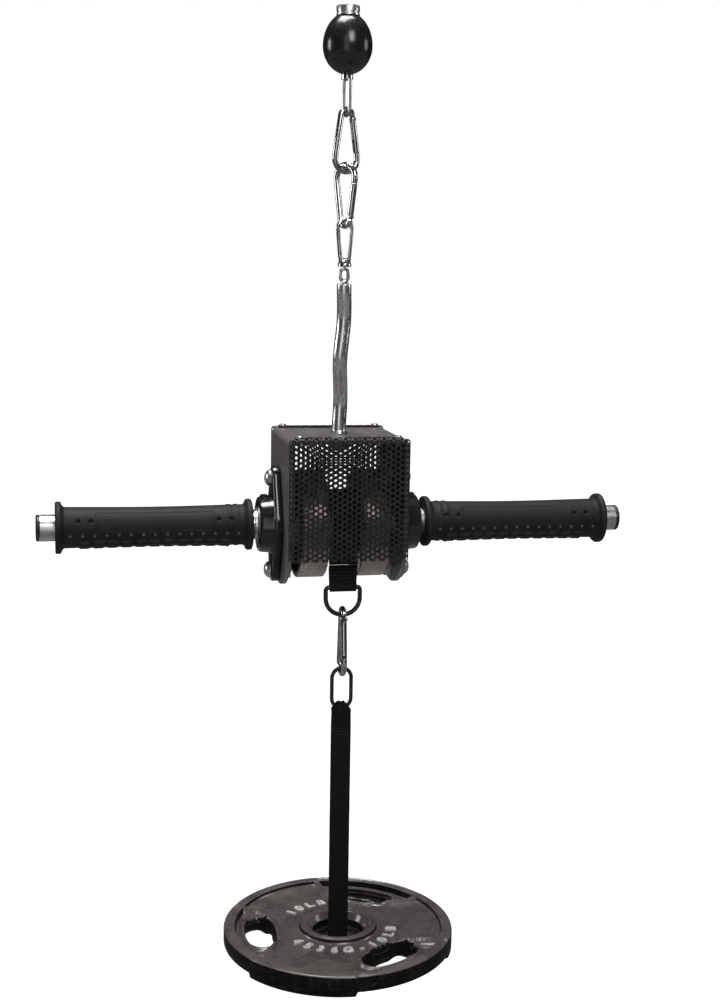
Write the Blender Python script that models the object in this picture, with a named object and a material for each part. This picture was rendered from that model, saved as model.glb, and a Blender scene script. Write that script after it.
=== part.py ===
# A wrist roller trainer that hangs from a cable: ball stop, three snap hooks, a bent hanger rod,
# a bent steel yoke with perforated guards, and a roller whose turning pays a strap out to a
# weight plate. Metres, +Z up, +X along the roller. The origin is the middle of the flat top
# face of the cable ferrule, and -Y is the side that the user faces.
import math

import bmesh
import bpy
import numpy as np
from mathutils import Matrix, Vector

for old in list(bpy.data.objects):
    bpy.data.objects.remove(old, do_unlink=True)

# Clearances
SEAT_GAP = 0.0003
SLOT_GAP = 0.0003
NOSE_GAP = 0.0004
GRIP_GAP = 0.0022
DRUM_BOLT_GAP = 0.00295
DRUM_GUARD_GAP = 0.0063
LOOP_PLAY = 0.001

# Broken edges, and how far a cutter reaches past the faces that it goes through
CHAMFER = 0.001
WIDE_CHAMFER = 0.002
PAST = 0.002

# Sides of a turned piece, by its size
SIDES_LARGE = 32
SIDES = 24
SIDES_SMALL = 14
SIDES_PIN = 10

# Cable end: ferrule, ball stop and end eye
FERRULE_RADIUS = 0.0109
FERRULE_HEIGHT = 0.0095
BALL_RADIUS = 0.023
BALL_HEIGHT = 0.0525
BALL_FLAT_RADIUS = 0.0112
BALL_WIDEST_DEPTH = 0.026
BALL_RECESS_DEPTH = 0.008
EYE_STUB_RADIUS = 0.0055
EYE_STUB_SHOWS = 0.005
EYE_WIRE = 0.0036
EYE_WIDTH = 0.0148
EYE_LENGTH = 0.0325
HOOK_1_TURN = math.radians(19)
HOOK_2_TURN = math.radians(-55)
SWIVEL_HOOK_TURN = math.radians(15)

# Shares of a hook's wire: how far its nose stands up from the wide arc, the flat tongues that
# the gate's slots fit over, and the hinge pin
NOSE_RISE = 0.6
NOSE_TONGUE = 0.65
HINGE_TONGUE = 0.4
TONGUE_ROOT = 0.5
TONGUE_THICK = 0.35
TONGUE_HALF_WIDTH = 0.36
PIN_SHARE = 0.18
PIN_HEAD_THICK = 0.08

# Shares of a tongue and of a pin: where the tongue narrows, its tip, and the pin's head
TONGUE_SHOULDER = 0.7
TONGUE_TIP = 0.55
PIN_HEAD = 1.7

# Pear-shaped snap hooks between the cable end and the swivel hook
SNAP_LENGTH = 0.062
SNAP_WIRE = 0.006
SNAP_WIDE = 0.0295
SNAP_NARROW = 0.018
# Snap hook that carries the load
LOAD_HOOK_LENGTH = 0.070
# Swivel snap hook above the hanger rod
SWIVEL_HOOK_LENGTH = 0.0445
SWIVEL_HOOK_WIRE = 0.004
SWIVEL_HOOK_WIDE = 0.0185
SWIVEL_HOOK_NARROW = 0.013
COLLAR_RADIUS = 0.0065
COLLAR_TIP_RADIUS = 0.0039
COLLAR_HEIGHT = 0.007
THROAT_FILL = 0.002
SWIVEL_STEM_RADIUS = 0.0015
SWIVEL_HEAD_RADIUS = 0.0021
SWIVEL_CROWN_RADIUS = 0.0015
SWIVEL_HEAD_HEIGHT = 0.002
SWIVEL_LOOP_WIRE = 0.0032
SWIVEL_LOOP_WIDTH = 0.0105
SWIVEL_LOOP_LENGTH = 0.0145
SWIVEL_FOOT_RADIUS = 0.004
SWIVEL_FOOT_HEIGHT = 0.0025

# Hanger rod
ROD_RADIUS = 0.007
ROD_LENGTH = 0.143
ROD_WAVE_DEPTH = 0.0045
ROD_WAVE_SIDE = 0.0022
ROD_WAVES = 1.5
ROD_STEPS = 18
ROD_STUD_SHOWS = 0.003
ROD_STUD_RADIUS = 0.005
ROD_NUT_ACROSS = 0.017
ROD_NUT_HEIGHT = 0.008
ROD_WASHER_RADIUS = 0.012
ROD_WASHER_THICK = 0.002

# Yoke: one sheet bent to an inverted U whose sides end in half circles round the roller
SHEET = 0.004
YOKE_WIDTH = 0.115
YOKE_DEPTH = 0.117
YOKE_BEND = 0.006
SHAFT_DROP = 0.088
SHAFT_BACK = 0.0170
SHAFT_HOLE_RADIUS = 0.019

# Perforated guards
GUARD_SHEET = 0.0015
GUARD_BELOW_SHAFT = 0.027
GUARD_BEND = 0.002
GUARD_FLANGE = 0.012
HOLE_RADIUS = 0.0041
HOLE_PITCH_SIDE = 0.0120
HOLE_PITCH_UP = 0.0139
GUARD_MARGIN = 0.0065

# Flange bearings
BEARING_BOLT_SPACING = 0.090
CASTING_THICK = 0.008
CASTING_END_RADIUS = 0.0115
CASTING_WAIST_RADIUS = 0.030
HUB_REACH = 0.021
HUB_BASE_RADIUS = 0.0285
HUB_TIP_RADIUS = 0.0265
INSERT_RADIUS = 0.0225
INSERT_INSET = 0.002
INSERT_SUNK = 0.003
INNER_RING_RADIUS = 0.0172
INNER_RING_REACH = 0.025
BOLT_RADIUS = 0.0048
BOLT_HEAD_RADIUS = 0.0085
BOLT_HEAD_HEIGHT = 0.0065
BOLT_HEAD_SKIRT = math.radians(20)
BOLT_SHOWS = 0.001
NUT_ACROSS = 0.016
NUT_HEIGHT = 0.0065

# Roller: through tube, drum shells, spool core, grips and end caps
TUBE_RADIUS = 0.0127
TUBE_WALL = 0.0025
TUBE_LENGTH = 0.570
DRUM_SPACE = 0.0315
DRUM_WALL = 0.005
DRUM_HUB_RADIUS = 0.021
DRUM_EDGE = 0.0012
TUBE_SHOWS = 0.014
GRIP_RADIUS = 0.0197
GRIP_FLANGE_RADIUS = 0.0248
GRIP_FLANGE = 0.0065
GRIP_RING_RISE = 0.0014
GRIP_RING = 0.0035
GRIP_RINGS_AT = (0.014, 0.022)
CAP_THICK = 0.0035
CAP_PLUG = 0.014

# Straps
STRAP_WIDTH = 0.028
STRAP_THICK = 0.002
STRAP_PITCH = 0.0026
STRAP_TURNS = 4
WOUND_RADIUS = 0.033
TURN_STEPS = 24
D_RING_DROP = 0.0576
D_RING_WIRE = 0.0045
D_RING_INNER_WIDTH = 0.029
D_RING_HEIGHT = 0.0271
D_RING_CORNER = 0.003
END_LOOP_LENGTH = 0.022
OVAL_WIRE = 0.004
OVAL_WIDTH = 0.023
OVAL_LENGTH = 0.044
LOADING_WIDTH = 0.0195
LOADING_LOOP_WIDTH = 0.011
LOADING_LENGTH = 0.257
LOADING_TAPER = 0.014
STOP_DISC_RADIUS = 0.040
STOP_DISC_THICK = 0.006
STOP_PIN_RADIUS = 0.004
STOP_PIN_LENGTH = 0.030

# Weight plate
PLATE_RADIUS = 0.114
PLATE_THICK = 0.021
PLATE_HOLE_RADIUS = 0.0255
PLATE_HUB_RADIUS = 0.0375
PLATE_RIM = 0.010
PLATE_RECESS = 0.003
PLATE_EDGE = 0.002
SLOT_RADIUS = 0.014
SLOT_SPREAD = math.radians(13)
SLOT_AT_RADIUS = 0.077
SLOT_LIP = 0.005
LIP_SUNK = 0.0005
SLOT_COUNT = 3
SLOT_FIRST = math.radians(60)


# Materials

def material(name, colour, roughness, metallic=0.0):
    """A plain surface with one colour."""
    made = bpy.data.materials.new(name)
    made.use_nodes = True
    shader = made.node_tree.nodes["Principled BSDF"]
    shader.inputs["Base Color"].default_value = (*colour, 1.0)
    shader.inputs["Roughness"].default_value = roughness
    shader.inputs["Metallic"].default_value = metallic
    return made


def steel(name):
    return material(name, (0.62, 0.62, 0.63), 0.22, 1.0)


def chrome(name):
    return material(name, (0.80, 0.80, 0.82), 0.08, 1.0)


def black_paint(name):
    return material(name, (0.022, 0.022, 0.024), 0.38)


def grey_paint(name):
    return material(name, (0.075, 0.078, 0.082), 0.42)


def drum_metal(name):
    return material(name, (0.42, 0.40, 0.37), 0.40, 0.8)


def rubber(name):
    return material(name, (0.028, 0.028, 0.029), 0.62)


def webbing(name):
    return material(name, (0.020, 0.020, 0.022), 0.85)


def cast_iron(name):
    return material(name, (0.055, 0.056, 0.058), 0.55, 0.3)


def gloss_black(name):
    return material(name, (0.012, 0.012, 0.013), 0.12)


# Shape helpers: each returns a closed mesh in its own frame

def to_mesh(bm):
    """The bmesh as a mesh with its faces pointing out."""
    bmesh.ops.remove_doubles(bm, verts=bm.verts[:], dist=1e-6)
    bmesh.ops.dissolve_degenerate(bm, edges=bm.edges[:], dist=1e-7)
    bmesh.ops.recalc_face_normals(bm, faces=bm.faces[:])
    mesh = bpy.data.meshes.new("shape")
    bm.to_mesh(mesh)
    bm.free()
    return mesh


def turned(profile, segments, axis="Z"):
    """A profile of (radius, height) points turned a full circle round Z or X."""
    bm = bmesh.new()
    verts = [bm.verts.new((radius, 0.0, height)) for radius, height in profile]
    edges = [bm.edges.new(pair) for pair in zip(verts, verts[1:])]
    if profile[0][0] > 0 or profile[-1][0] > 0:
        edges.append(bm.edges.new((verts[-1], verts[0])))
    bmesh.ops.spin(bm, geom=verts + edges, cent=(0, 0, 0), axis=(0, 0, 1),
                   angle=math.tau, steps=segments, use_merge=True)
    if axis == "X":
        bmesh.ops.rotate(bm, verts=bm.verts[:], cent=(0, 0, 0),
                         matrix=Matrix.Rotation(math.pi / 2, 3, "Y"))
    return to_mesh(bm)


def prism(outline, low, high, along="Y"):
    """An outline pulled straight from low to high. Its points are (x, z) for Y, (y, z) for X
    and (x, y) for Z."""
    place = {
        "X": lambda a, b: (low, a, b),
        "Y": lambda a, b: (a, low, b),
        "Z": lambda a, b: (a, b, low),
    }[along]
    pull = {"X": (high - low, 0, 0), "Y": (0, high - low, 0), "Z": (0, 0, high - low)}[along]
    bm = bmesh.new()
    face = bm.faces.new([bm.verts.new(place(a, b)) for a, b in outline])
    grown = bmesh.ops.extrude_face_region(bm, geom=[face])["geom"]
    far_side = [v for v in grown if isinstance(v, bmesh.types.BMVert)]
    bmesh.ops.translate(bm, verts=far_side, vec=pull)
    return to_mesh(bm)


def wire(points, radius, closed=False, resolution=2):
    """A round wire along the points, with flat ends unless it is closed."""
    curve = bpy.data.curves.new("wire", "CURVE")
    curve.dimensions = "3D"
    curve.bevel_depth = radius
    curve.bevel_resolution = resolution
    curve.use_fill_caps = True
    spline = curve.splines.new("POLY")
    spline.points.add(len(points) - 1)
    for point, place in zip(spline.points, points):
        point.co = (*place, 1.0)
    spline.use_cyclic_u = closed
    guide = bpy.data.objects.new("wire_guide", curve)
    bpy.context.collection.objects.link(guide)
    view = bpy.context.evaluated_depsgraph_get()
    flat = bpy.data.meshes.new_from_object(guide.evaluated_get(view))
    bpy.data.objects.remove(guide)
    bm = bmesh.new()
    bm.from_mesh(flat)
    return to_mesh(bm)


def moved(mesh, by=(0, 0, 0), turn=0.0, about="Z"):
    """The mesh turned about an axis through its origin and then moved."""
    mesh.transform(Matrix.Translation(Vector(by)) @ Matrix.Rotation(turn, 4, about))
    return mesh


def joined(meshes):
    """Several closed meshes in one, left as separate bodies."""
    bm = bmesh.new()
    for mesh in meshes:
        bm.from_mesh(mesh)
    return to_mesh(bm)


def combined(mesh, others, operation):
    """The mesh with the others united with it or cut from it."""
    body = bpy.data.objects.new("body", mesh)
    tool = bpy.data.objects.new("tool", joined(others))
    for part in (body, tool):
        bpy.context.collection.objects.link(part)
    change = body.modifiers.new("change", "BOOLEAN")
    change.operation = operation
    change.solver = "EXACT"
    change.use_self = True
    change.object = tool
    view = bpy.context.evaluated_depsgraph_get()
    result = bpy.data.meshes.new_from_object(body.evaluated_get(view))
    for part in (body, tool):
        bpy.data.objects.remove(part)
    bm = bmesh.new()
    bm.from_mesh(result)
    return to_mesh(bm)


def add(name, mesh, surface, place=(0, 0, 0), smooth_angle=35):
    """An object of the given name, with its origin at the given place."""
    mesh.name = name
    mesh.materials.clear()
    mesh.materials.append(surface(name))
    mesh.shade_smooth()
    mesh.set_sharp_from_angle(angle=math.radians(smooth_angle))
    part = bpy.data.objects.new(name, mesh)
    part.location = place
    bpy.context.collection.objects.link(part)
    return part


def arc(centre, radius, start, end, steps):
    """Points of an arc in the plane, both ends included."""
    angles = np.linspace(start, end, steps + 1)
    return [(centre[0] + radius * math.cos(a), centre[1] + radius * math.sin(a)) for a in angles]


def cylinder(radius, low, high, segments, axis="Z"):
    return turned([(0, low), (radius, low), (radius, high), (0, high)], segments, axis)


def hexagon(across, turn=0.0):
    """Corners of a hexagon that measures across its flats."""
    return arc((0, 0), across / math.sqrt(3), turn, turn + math.tau * 5 / 6, 5)


# Cable end

FERRULE_BOTTOM = -FERRULE_HEIGHT
BALL_TOP = FERRULE_BOTTOM - SEAT_GAP
BALL_BOTTOM = BALL_TOP - BALL_HEIGHT
EYE_BOTTOM_CENTRE = BALL_BOTTOM - EYE_STUB_SHOWS - EYE_LENGTH + EYE_WIRE / 2


def build_cable_end():
    ferrule = turned([
        (0, 0), (FERRULE_RADIUS - CHAMFER, 0), (FERRULE_RADIUS, -CHAMFER),
        (FERRULE_RADIUS, FERRULE_BOTTOM), (0, FERRULE_BOTTOM),
    ], SIDES)
    add("cable_ferrule", ferrule, steel)

    # The ball is an egg with a flat top, cut from below for the stub of the end eye
    widest = BALL_TOP - BALL_WIDEST_DEPTH
    top_angle = math.acos(BALL_FLAT_RADIUS / BALL_RADIUS)
    upper_height = BALL_WIDEST_DEPTH / math.sin(top_angle)
    lower_height = BALL_HEIGHT - BALL_WIDEST_DEPTH
    recess = EYE_STUB_RADIUS + SEAT_GAP
    low_angle = -math.acos(recess / BALL_RADIUS)
    outline = [(0, BALL_TOP)]
    for angle in np.linspace(top_angle, 0, 6):
        outline.append((BALL_RADIUS * math.cos(angle), widest + upper_height * math.sin(angle)))
    for angle in np.linspace(0, low_angle, 7)[1:]:
        outline.append((BALL_RADIUS * math.cos(angle), widest + lower_height * math.sin(angle)))
    outline += [(recess, BALL_BOTTOM + BALL_RECESS_DEPTH), (0, BALL_BOTTOM + BALL_RECESS_DEPTH)]
    add("ball_stop", turned(outline, SIDES), gloss_black)

    # The eye is a stub in the ball with a long loop of wire below it
    stub_top = BALL_BOTTOM + BALL_RECESS_DEPTH - SEAT_GAP
    stub_bottom = BALL_BOTTOM - EYE_STUB_SHOWS
    stub = cylinder(EYE_STUB_RADIUS, stub_bottom, stub_top, SIDES_SMALL)
    bend = (EYE_WIDTH - EYE_WIRE) / 2
    leg_top = stub_bottom + EYE_WIRE / 4
    bend_centre = (0, EYE_BOTTOM_CENTRE + bend)
    loop = [(-bend, leg_top)] + arc(bend_centre, bend, math.pi, math.tau, 10) + [(bend, leg_top)]
    bow = wire([(u, 0, v) for u, v in loop], EYE_WIRE / 2)
    eye = combined(stub, [bow], "UNION")
    add("end_eye", moved(eye, turn=HOOK_1_TURN + math.pi / 2), steel)


# Snap hooks: the body's plane is XZ, its wide end points down and its gate is at +X

class Snap:
    """Centre line of a pear-shaped snap hook, from the centre of its wide arc."""

    def __init__(self, length, wire_size, wide, narrow):
        self.wire = wire_size
        self.wide = (wide - wire_size) / 2
        self.narrow = (narrow - wire_size) / 2
        self.spread = length - wire_size - self.wide - self.narrow
        self.lean = math.asin((self.wide - self.narrow) / self.spread)
        self.gate_top = self.on_arc(self.narrow, self.spread, self.lean)
        wide_end = self.on_arc(self.wide, 0, self.lean)
        self.down = (wide_end - self.gate_top).normalized()
        self.gate_bottom = wide_end - self.down * wire_size * NOSE_RISE
        self.tongue = wire_size * TONGUE_THICK
        self.pin = wire_size * PIN_SHARE
        self.pivot_drop = wire_size / 2 + SLOT_GAP
        self.hinge_tongue = wire_size * HINGE_TONGUE
        self.nose_tongue = wire_size * NOSE_TONGUE

    def on_arc(self, radius, height, angle):
        return Vector((radius * math.cos(angle), 0, height + radius * math.sin(angle)))

    @property
    def pivot(self):
        return self.gate_top + self.down * self.pivot_drop

    @property
    def top(self):
        """Height of the wire's centre at the narrow end."""
        return self.spread + self.narrow

    def body_line(self):
        over = arc((0, self.spread), self.narrow, self.lean, math.pi - self.lean, 8)
        under = arc((0, 0), self.wide, math.pi - self.lean, math.tau + self.lean, 13)
        return [(u, 0, v) for u, v in over + under] + [tuple(self.gate_bottom)]

    def tongue_plate(self, start, direction, reach):
        """A thin plate in the hook's plane that goes on from the end of the wire."""
        side = Vector((-direction.z, 0, direction.x)) * self.wire * TONGUE_HALF_WIDTH
        back = -direction * self.wire * TONGUE_ROOT
        tip = direction * reach
        shoulder = tip * TONGUE_SHOULDER
        nip = side * TONGUE_TIP
        corners = [
            start + back + side, start + shoulder + side, start + tip + nip,
            start + tip - nip, start + shoulder - side, start + back - side,
        ]
        half = self.tongue / 2
        return prism([(p.x, p.z) for p in corners], -half, half)

    def body(self):
        body = wire(self.body_line(), self.wire / 2)
        hinge = self.tongue_plate(self.gate_top, self.down, self.pivot_drop + self.hinge_tongue)
        nose = self.tongue_plate(self.gate_bottom, -self.down, self.nose_tongue)
        body = combined(body, [hinge], "UNION")
        body = combined(body, [nose], "UNION")
        bore = prism_circle(self.pivot, self.pin + SLOT_GAP, self.wire, SIDES_PIN)
        return combined(body, [bore], "DIFFERENCE")

    def gate(self):
        """A round bar with a slot at each end, turned about its own line and then leaned."""
        half = self.wire / 2
        run = (self.gate_bottom - self.pivot).length - NOSE_GAP
        dome = [(half * math.sin(a), half * math.cos(a)) for a in np.linspace(0, math.pi / 2, 4)]
        bar = turned(dome + [(half, -run), (0, -run)], SIDES_SMALL)
        slot = self.tongue / 2 + SLOT_GAP
        hinge_end = -(self.hinge_tongue + SLOT_GAP * 3)
        nose_end = -run + self.nose_tongue - NOSE_GAP + SLOT_GAP * 3
        wide = self.wire
        cuts = [
            box((-wide, -slot, hinge_end), (wide, slot, wide)),
            box((-wide, -slot, -run - wide), (wide, slot, nose_end)),
            prism_circle(Vector((0, 0, 0)), self.pin + SLOT_GAP, self.wire, SIDES_PIN),
        ]
        bar = combined(bar, cuts, "DIFFERENCE")
        lean = math.atan2(-self.down.x, -self.down.z)
        return moved(bar, by=self.pivot, turn=lean, about="Y")

    def rivet(self):
        """The hinge pin, with a thin head on each side of the gate."""
        half = self.wire / 2 + SLOT_GAP
        head = self.pin * PIN_HEAD
        thick = self.wire * PIN_HEAD_THICK
        pin = turned([
            (0, -half - thick), (head, -half - thick), (head, -half), (self.pin, -half),
            (self.pin, half), (head, half), (head, half + thick), (0, half + thick),
        ], SIDES_PIN)
        return moved(moved(pin, turn=math.pi / 2, about="X"), by=self.pivot)


def box(low, high):
    x0, y0, z0 = low
    x1, y1, z1 = high
    return prism([(x0, z0), (x1, z0), (x1, z1), (x0, z1)], y0, y1)


def prism_circle(centre, radius, reach, segments):
    """A round cutter along Y through the centre."""
    step = math.tau * (1 - 1 / segments)
    return prism(arc((centre.x, centre.z), radius, 0, step, segments - 1), -reach, reach)


def place_hook(mesh, wide_centre, turn, wide_up=False):
    """Turns a hook's mesh to its direction and moves its wide arc's centre into place."""
    if wide_up:
        moved(mesh, turn=math.pi, about="X")
    return moved(mesh, by=wide_centre, turn=turn)


def build_hook(name, snap, wide_centre, turn, wide_up=False, extra=None):
    body = snap.body()
    if extra:
        body = extra(body)
    for piece, mesh in (("body", body), ("gate", snap.gate()), ("pin", snap.rivet())):
        add(f"{name}_{piece}", place_hook(mesh, wide_centre, turn, wide_up), steel)


SNAP = Snap(SNAP_LENGTH, SNAP_WIRE, SNAP_WIDE, SNAP_NARROW)
SWIVEL = Snap(SWIVEL_HOOK_LENGTH, SWIVEL_HOOK_WIRE, SWIVEL_HOOK_WIDE, SWIVEL_HOOK_NARROW)
LOAD = Snap(LOAD_HOOK_LENGTH, SNAP_WIRE, SNAP_WIDE, SNAP_NARROW)


def link_step(upper, lower):
    """Height of the lower wire's centre above the upper one that it hangs on."""
    return (upper + lower) / 2 + SEAT_GAP


# Heights of the wires' centres down the chain
HOOK_1_TOP = EYE_BOTTOM_CENTRE + link_step(EYE_WIRE, SNAP_WIRE)
HOOK_1_WIDE = HOOK_1_TOP - SNAP.top
HOOK_1_BOTTOM = HOOK_1_WIDE - SNAP.wide
HOOK_2_TOP = HOOK_1_BOTTOM + link_step(SNAP_WIRE, SNAP_WIRE)
HOOK_2_WIDE = HOOK_2_TOP - SNAP.wide
HOOK_2_BOTTOM = HOOK_2_WIDE - SNAP.top
HOOK_3_TOP = HOOK_2_BOTTOM + link_step(SNAP_WIRE, SWIVEL_HOOK_WIRE)
HOOK_3_WIDE = HOOK_3_TOP - SWIVEL.wide
HOOK_3_BOTTOM = HOOK_3_WIDE - SWIVEL.top
COLLAR_TOP = HOOK_3_BOTTOM + SWIVEL_HOOK_WIRE / 2 + THROAT_FILL
COLLAR_BOTTOM = COLLAR_TOP - COLLAR_HEIGHT
LOOP_TOP = COLLAR_BOTTOM - SEAT_GAP
ROD_TOP = LOOP_TOP - SWIVEL_LOOP_LENGTH - SWIVEL_FOOT_HEIGHT / 2 - SEAT_GAP
YOKE_TOP = ROD_TOP - ROD_LENGTH
SHAFT_HEIGHT = YOKE_TOP - SHAFT_DROP


def build_upper_hooks():
    build_hook("snap_hook_1", SNAP, (0, 0, HOOK_1_WIDE), HOOK_1_TURN)
    build_hook("snap_hook_2", SNAP, (0, 0, HOOK_2_WIDE), HOOK_2_TURN, wide_up=True)

    def with_collar(body):
        """Adds the round collar that the swivel turns in, at the narrow end."""
        top = HOOK_3_WIDE - COLLAR_TOP
        bottom = HOOK_3_WIDE - COLLAR_BOTTOM
        collar = turned([
            (0, top), (COLLAR_TIP_RADIUS, top), (COLLAR_RADIUS, (top + bottom) / 2),
            (COLLAR_RADIUS, bottom), (0, bottom),
        ], SIDES)
        low, high = top - COLLAR_HEIGHT, bottom + COLLAR_HEIGHT
        bore = cylinder(SWIVEL_STEM_RADIUS + SEAT_GAP, low, high, SIDES_SMALL)
        body = combined(body, [collar], "UNION")
        return combined(body, [bore], "DIFFERENCE")

    build_hook("swivel_hook", SWIVEL, (0, 0, HOOK_3_WIDE), SWIVEL_HOOK_TURN + math.pi,
               wide_up=True, extra=with_collar)


def build_swivel_eye():
    """Headed stem through the collar, with a loop below it whose foot meets the rod."""
    head_low = COLLAR_TOP + SEAT_GAP
    loop_centre = LOOP_TOP - SWIVEL_LOOP_LENGTH / 2
    stem = turned([
        (0, head_low + SWIVEL_HEAD_HEIGHT), (SWIVEL_CROWN_RADIUS, head_low + SWIVEL_HEAD_HEIGHT),
        (SWIVEL_HEAD_RADIUS, head_low), (SWIVEL_STEM_RADIUS, head_low),
        (SWIVEL_STEM_RADIUS, LOOP_TOP - SWIVEL_LOOP_WIRE / 2), (0, LOOP_TOP - SWIVEL_LOOP_WIRE / 2),
    ], SIDES_SMALL)
    bend = (SWIVEL_LOOP_WIDTH - SWIVEL_LOOP_WIRE) / 2
    rise = (SWIVEL_LOOP_LENGTH - SWIVEL_LOOP_WIRE) / 2 - bend
    line = arc((0, loop_centre + rise), bend, 0, math.pi, 8)
    line += arc((0, loop_centre - rise), bend, math.pi, math.tau, 8)
    loop = wire([(u, 0, v) for u, v in line], SWIVEL_LOOP_WIRE / 2, closed=True)
    foot_low = ROD_TOP + SEAT_GAP
    foot = cylinder(SWIVEL_FOOT_RADIUS, foot_low, foot_low + SWIVEL_FOOT_HEIGHT, SIDES_SMALL)
    eye = combined(loop, [stem], "UNION")
    add("swivel_eye", combined(eye, [foot], "UNION"), steel)


# Hanger rod

def rod_line(share):
    """A point of the rod's centre line, share 0 at its top and 1 at the yoke."""
    ease = share * share * (3 - 2 * share)
    fade = math.sin(math.pi * share)
    wave = math.sin(math.tau * ROD_WAVES * share) * fade
    side = ROD_WAVE_SIDE * wave
    back = SHAFT_BACK * ease + ROD_WAVE_DEPTH * wave
    return (side, back, ROD_TOP - ROD_LENGTH * share)


def build_rod():
    shoulder = ROD_TOP - ROD_LENGTH + SEAT_GAP
    points = [rod_line(i / ROD_STEPS) for i in range(ROD_STEPS)]
    points.append((0, SHAFT_BACK, shoulder))
    rod = wire(points, ROD_RADIUS, resolution=4)
    stud_end = YOKE_TOP - SHEET - ROD_WASHER_THICK - ROD_NUT_HEIGHT - ROD_STUD_SHOWS
    stud = cylinder(ROD_STUD_RADIUS, stud_end, shoulder + ROD_RADIUS, SIDES_SMALL)
    rod = combined(rod, [moved(stud, by=(0, SHAFT_BACK, 0))], "UNION")
    add("hanger_rod", rod, chrome)

    washer_top = YOKE_TOP - SHEET - SEAT_GAP
    bore = ROD_STUD_RADIUS + SEAT_GAP
    washer = turned([
        (bore, washer_top), (ROD_WASHER_RADIUS, washer_top),
        (ROD_WASHER_RADIUS, washer_top - ROD_WASHER_THICK), (bore, washer_top - ROD_WASHER_THICK),
    ], SIDES_SMALL)
    add("rod_washer", moved(washer, by=(0, SHAFT_BACK, 0)), steel)

    nut_top = washer_top - ROD_WASHER_THICK - SEAT_GAP
    nut = prism(hexagon(ROD_NUT_ACROSS), nut_top - ROD_NUT_HEIGHT, nut_top, along="Z")
    hole = cylinder(bore, nut_top - ROD_NUT_HEIGHT - PAST, nut_top + PAST, SIDES_SMALL)
    nut = combined(nut, [hole], "DIFFERENCE")
    add("rod_nut", moved(nut, by=(0, SHAFT_BACK, 0)), steel)


# Yoke and guards

YOKE_HALF = YOKE_WIDTH / 2
YOKE_INNER = YOKE_HALF - SHEET
SIDE_RADIUS = YOKE_DEPTH / 2


def build_yoke():
    """A bent U, cut to half circles below the shaft and drilled for shaft, bolts and rod."""
    top = YOKE_TOP
    bottom = SHAFT_HEIGHT - SIDE_RADIUS
    inner_bend = YOKE_BEND - SHEET
    outer = [(-YOKE_HALF, bottom)]
    outer += arc((-YOKE_HALF + YOKE_BEND, top - YOKE_BEND), YOKE_BEND, math.pi, math.pi / 2, 4)
    outer += arc((YOKE_HALF - YOKE_BEND, top - YOKE_BEND), YOKE_BEND, math.pi / 2, 0, 4)
    outer += [(YOKE_HALF, bottom), (YOKE_INNER, bottom)]
    corner = top - YOKE_BEND
    outer += arc((YOKE_INNER - inner_bend, corner), inner_bend, 0, math.pi / 2, 3)
    outer += arc((-YOKE_INNER + inner_bend, corner), inner_bend, math.pi / 2, math.pi, 3)
    outer += [(-YOKE_INNER, bottom)]
    yoke = prism(outer, SHAFT_BACK - SIDE_RADIUS, SHAFT_BACK + SIDE_RADIUS)

    side = arc((SHAFT_BACK, SHAFT_HEIGHT), SIDE_RADIUS, math.pi, math.tau, 28)
    side += [(SHAFT_BACK + SIDE_RADIUS, top + SHEET), (SHAFT_BACK - SIDE_RADIUS, top + SHEET)]
    keep = prism(side, -YOKE_WIDTH, YOKE_WIDTH, along="X")
    yoke = combined(yoke, [keep], "INTERSECT")

    cuts = [moved(cylinder(SHAFT_HOLE_RADIUS, -YOKE_WIDTH, YOKE_WIDTH, SIDES, "X"),
                  by=(0, SHAFT_BACK, SHAFT_HEIGHT))]
    for rise in (-1, 1):
        bolt = cylinder(BOLT_RADIUS + SEAT_GAP, -YOKE_WIDTH, YOKE_WIDTH, SIDES_SMALL, "X")
        height = SHAFT_HEIGHT + rise * BEARING_BOLT_SPACING / 2
        cuts.append(moved(bolt, by=(0, SHAFT_BACK, height)))
    yoke = combined(yoke, cuts, "DIFFERENCE")
    stud = cylinder(ROD_STUD_RADIUS + SEAT_GAP, top - SHEET - PAST, top + PAST, SIDES_SMALL)
    yoke = combined(yoke, [moved(stud, by=(0, SHAFT_BACK, 0))], "DIFFERENCE")
    add("yoke_frame", yoke, grey_paint)


def guard_side():
    """The guard seen from its side: a flat front, bent back at its top over the yoke."""
    back = -SIDE_RADIUS - SEAT_GAP
    front = back - GUARD_SHEET
    seat = SHAFT_DROP + SEAT_GAP
    top = seat + GUARD_SHEET
    centre = (front + GUARD_BEND, top - GUARD_BEND)
    side = [(front, -GUARD_BELOW_SHAFT)]
    side += arc(centre, GUARD_BEND, math.pi, math.pi / 2, 3)
    side += [(front + GUARD_FLANGE, top), (front + GUARD_FLANGE, seat)]
    side += arc(centre, GUARD_BEND - GUARD_SHEET, math.pi / 2, math.pi, 2)
    side += [(back, -GUARD_BELOW_SHAFT)]
    return side


def guard_face():
    """The guard seen from its front, as wide as the yoke and rounded like the yoke's bends."""
    corner = YOKE_BEND + SEAT_GAP + GUARD_SHEET
    across, up = YOKE_HALF - YOKE_BEND, SHAFT_DROP - YOKE_BEND
    clip = math.acos(YOKE_BEND / corner)
    face = [(-YOKE_HALF, -GUARD_BELOW_SHAFT)]
    face += arc((-across, up), corner, math.pi - clip, math.pi / 2, 4)
    face += arc((across, up), corner, math.pi / 2, clip, 4)
    face += [(YOKE_HALF, -GUARD_BELOW_SHAFT)]
    return face


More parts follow.
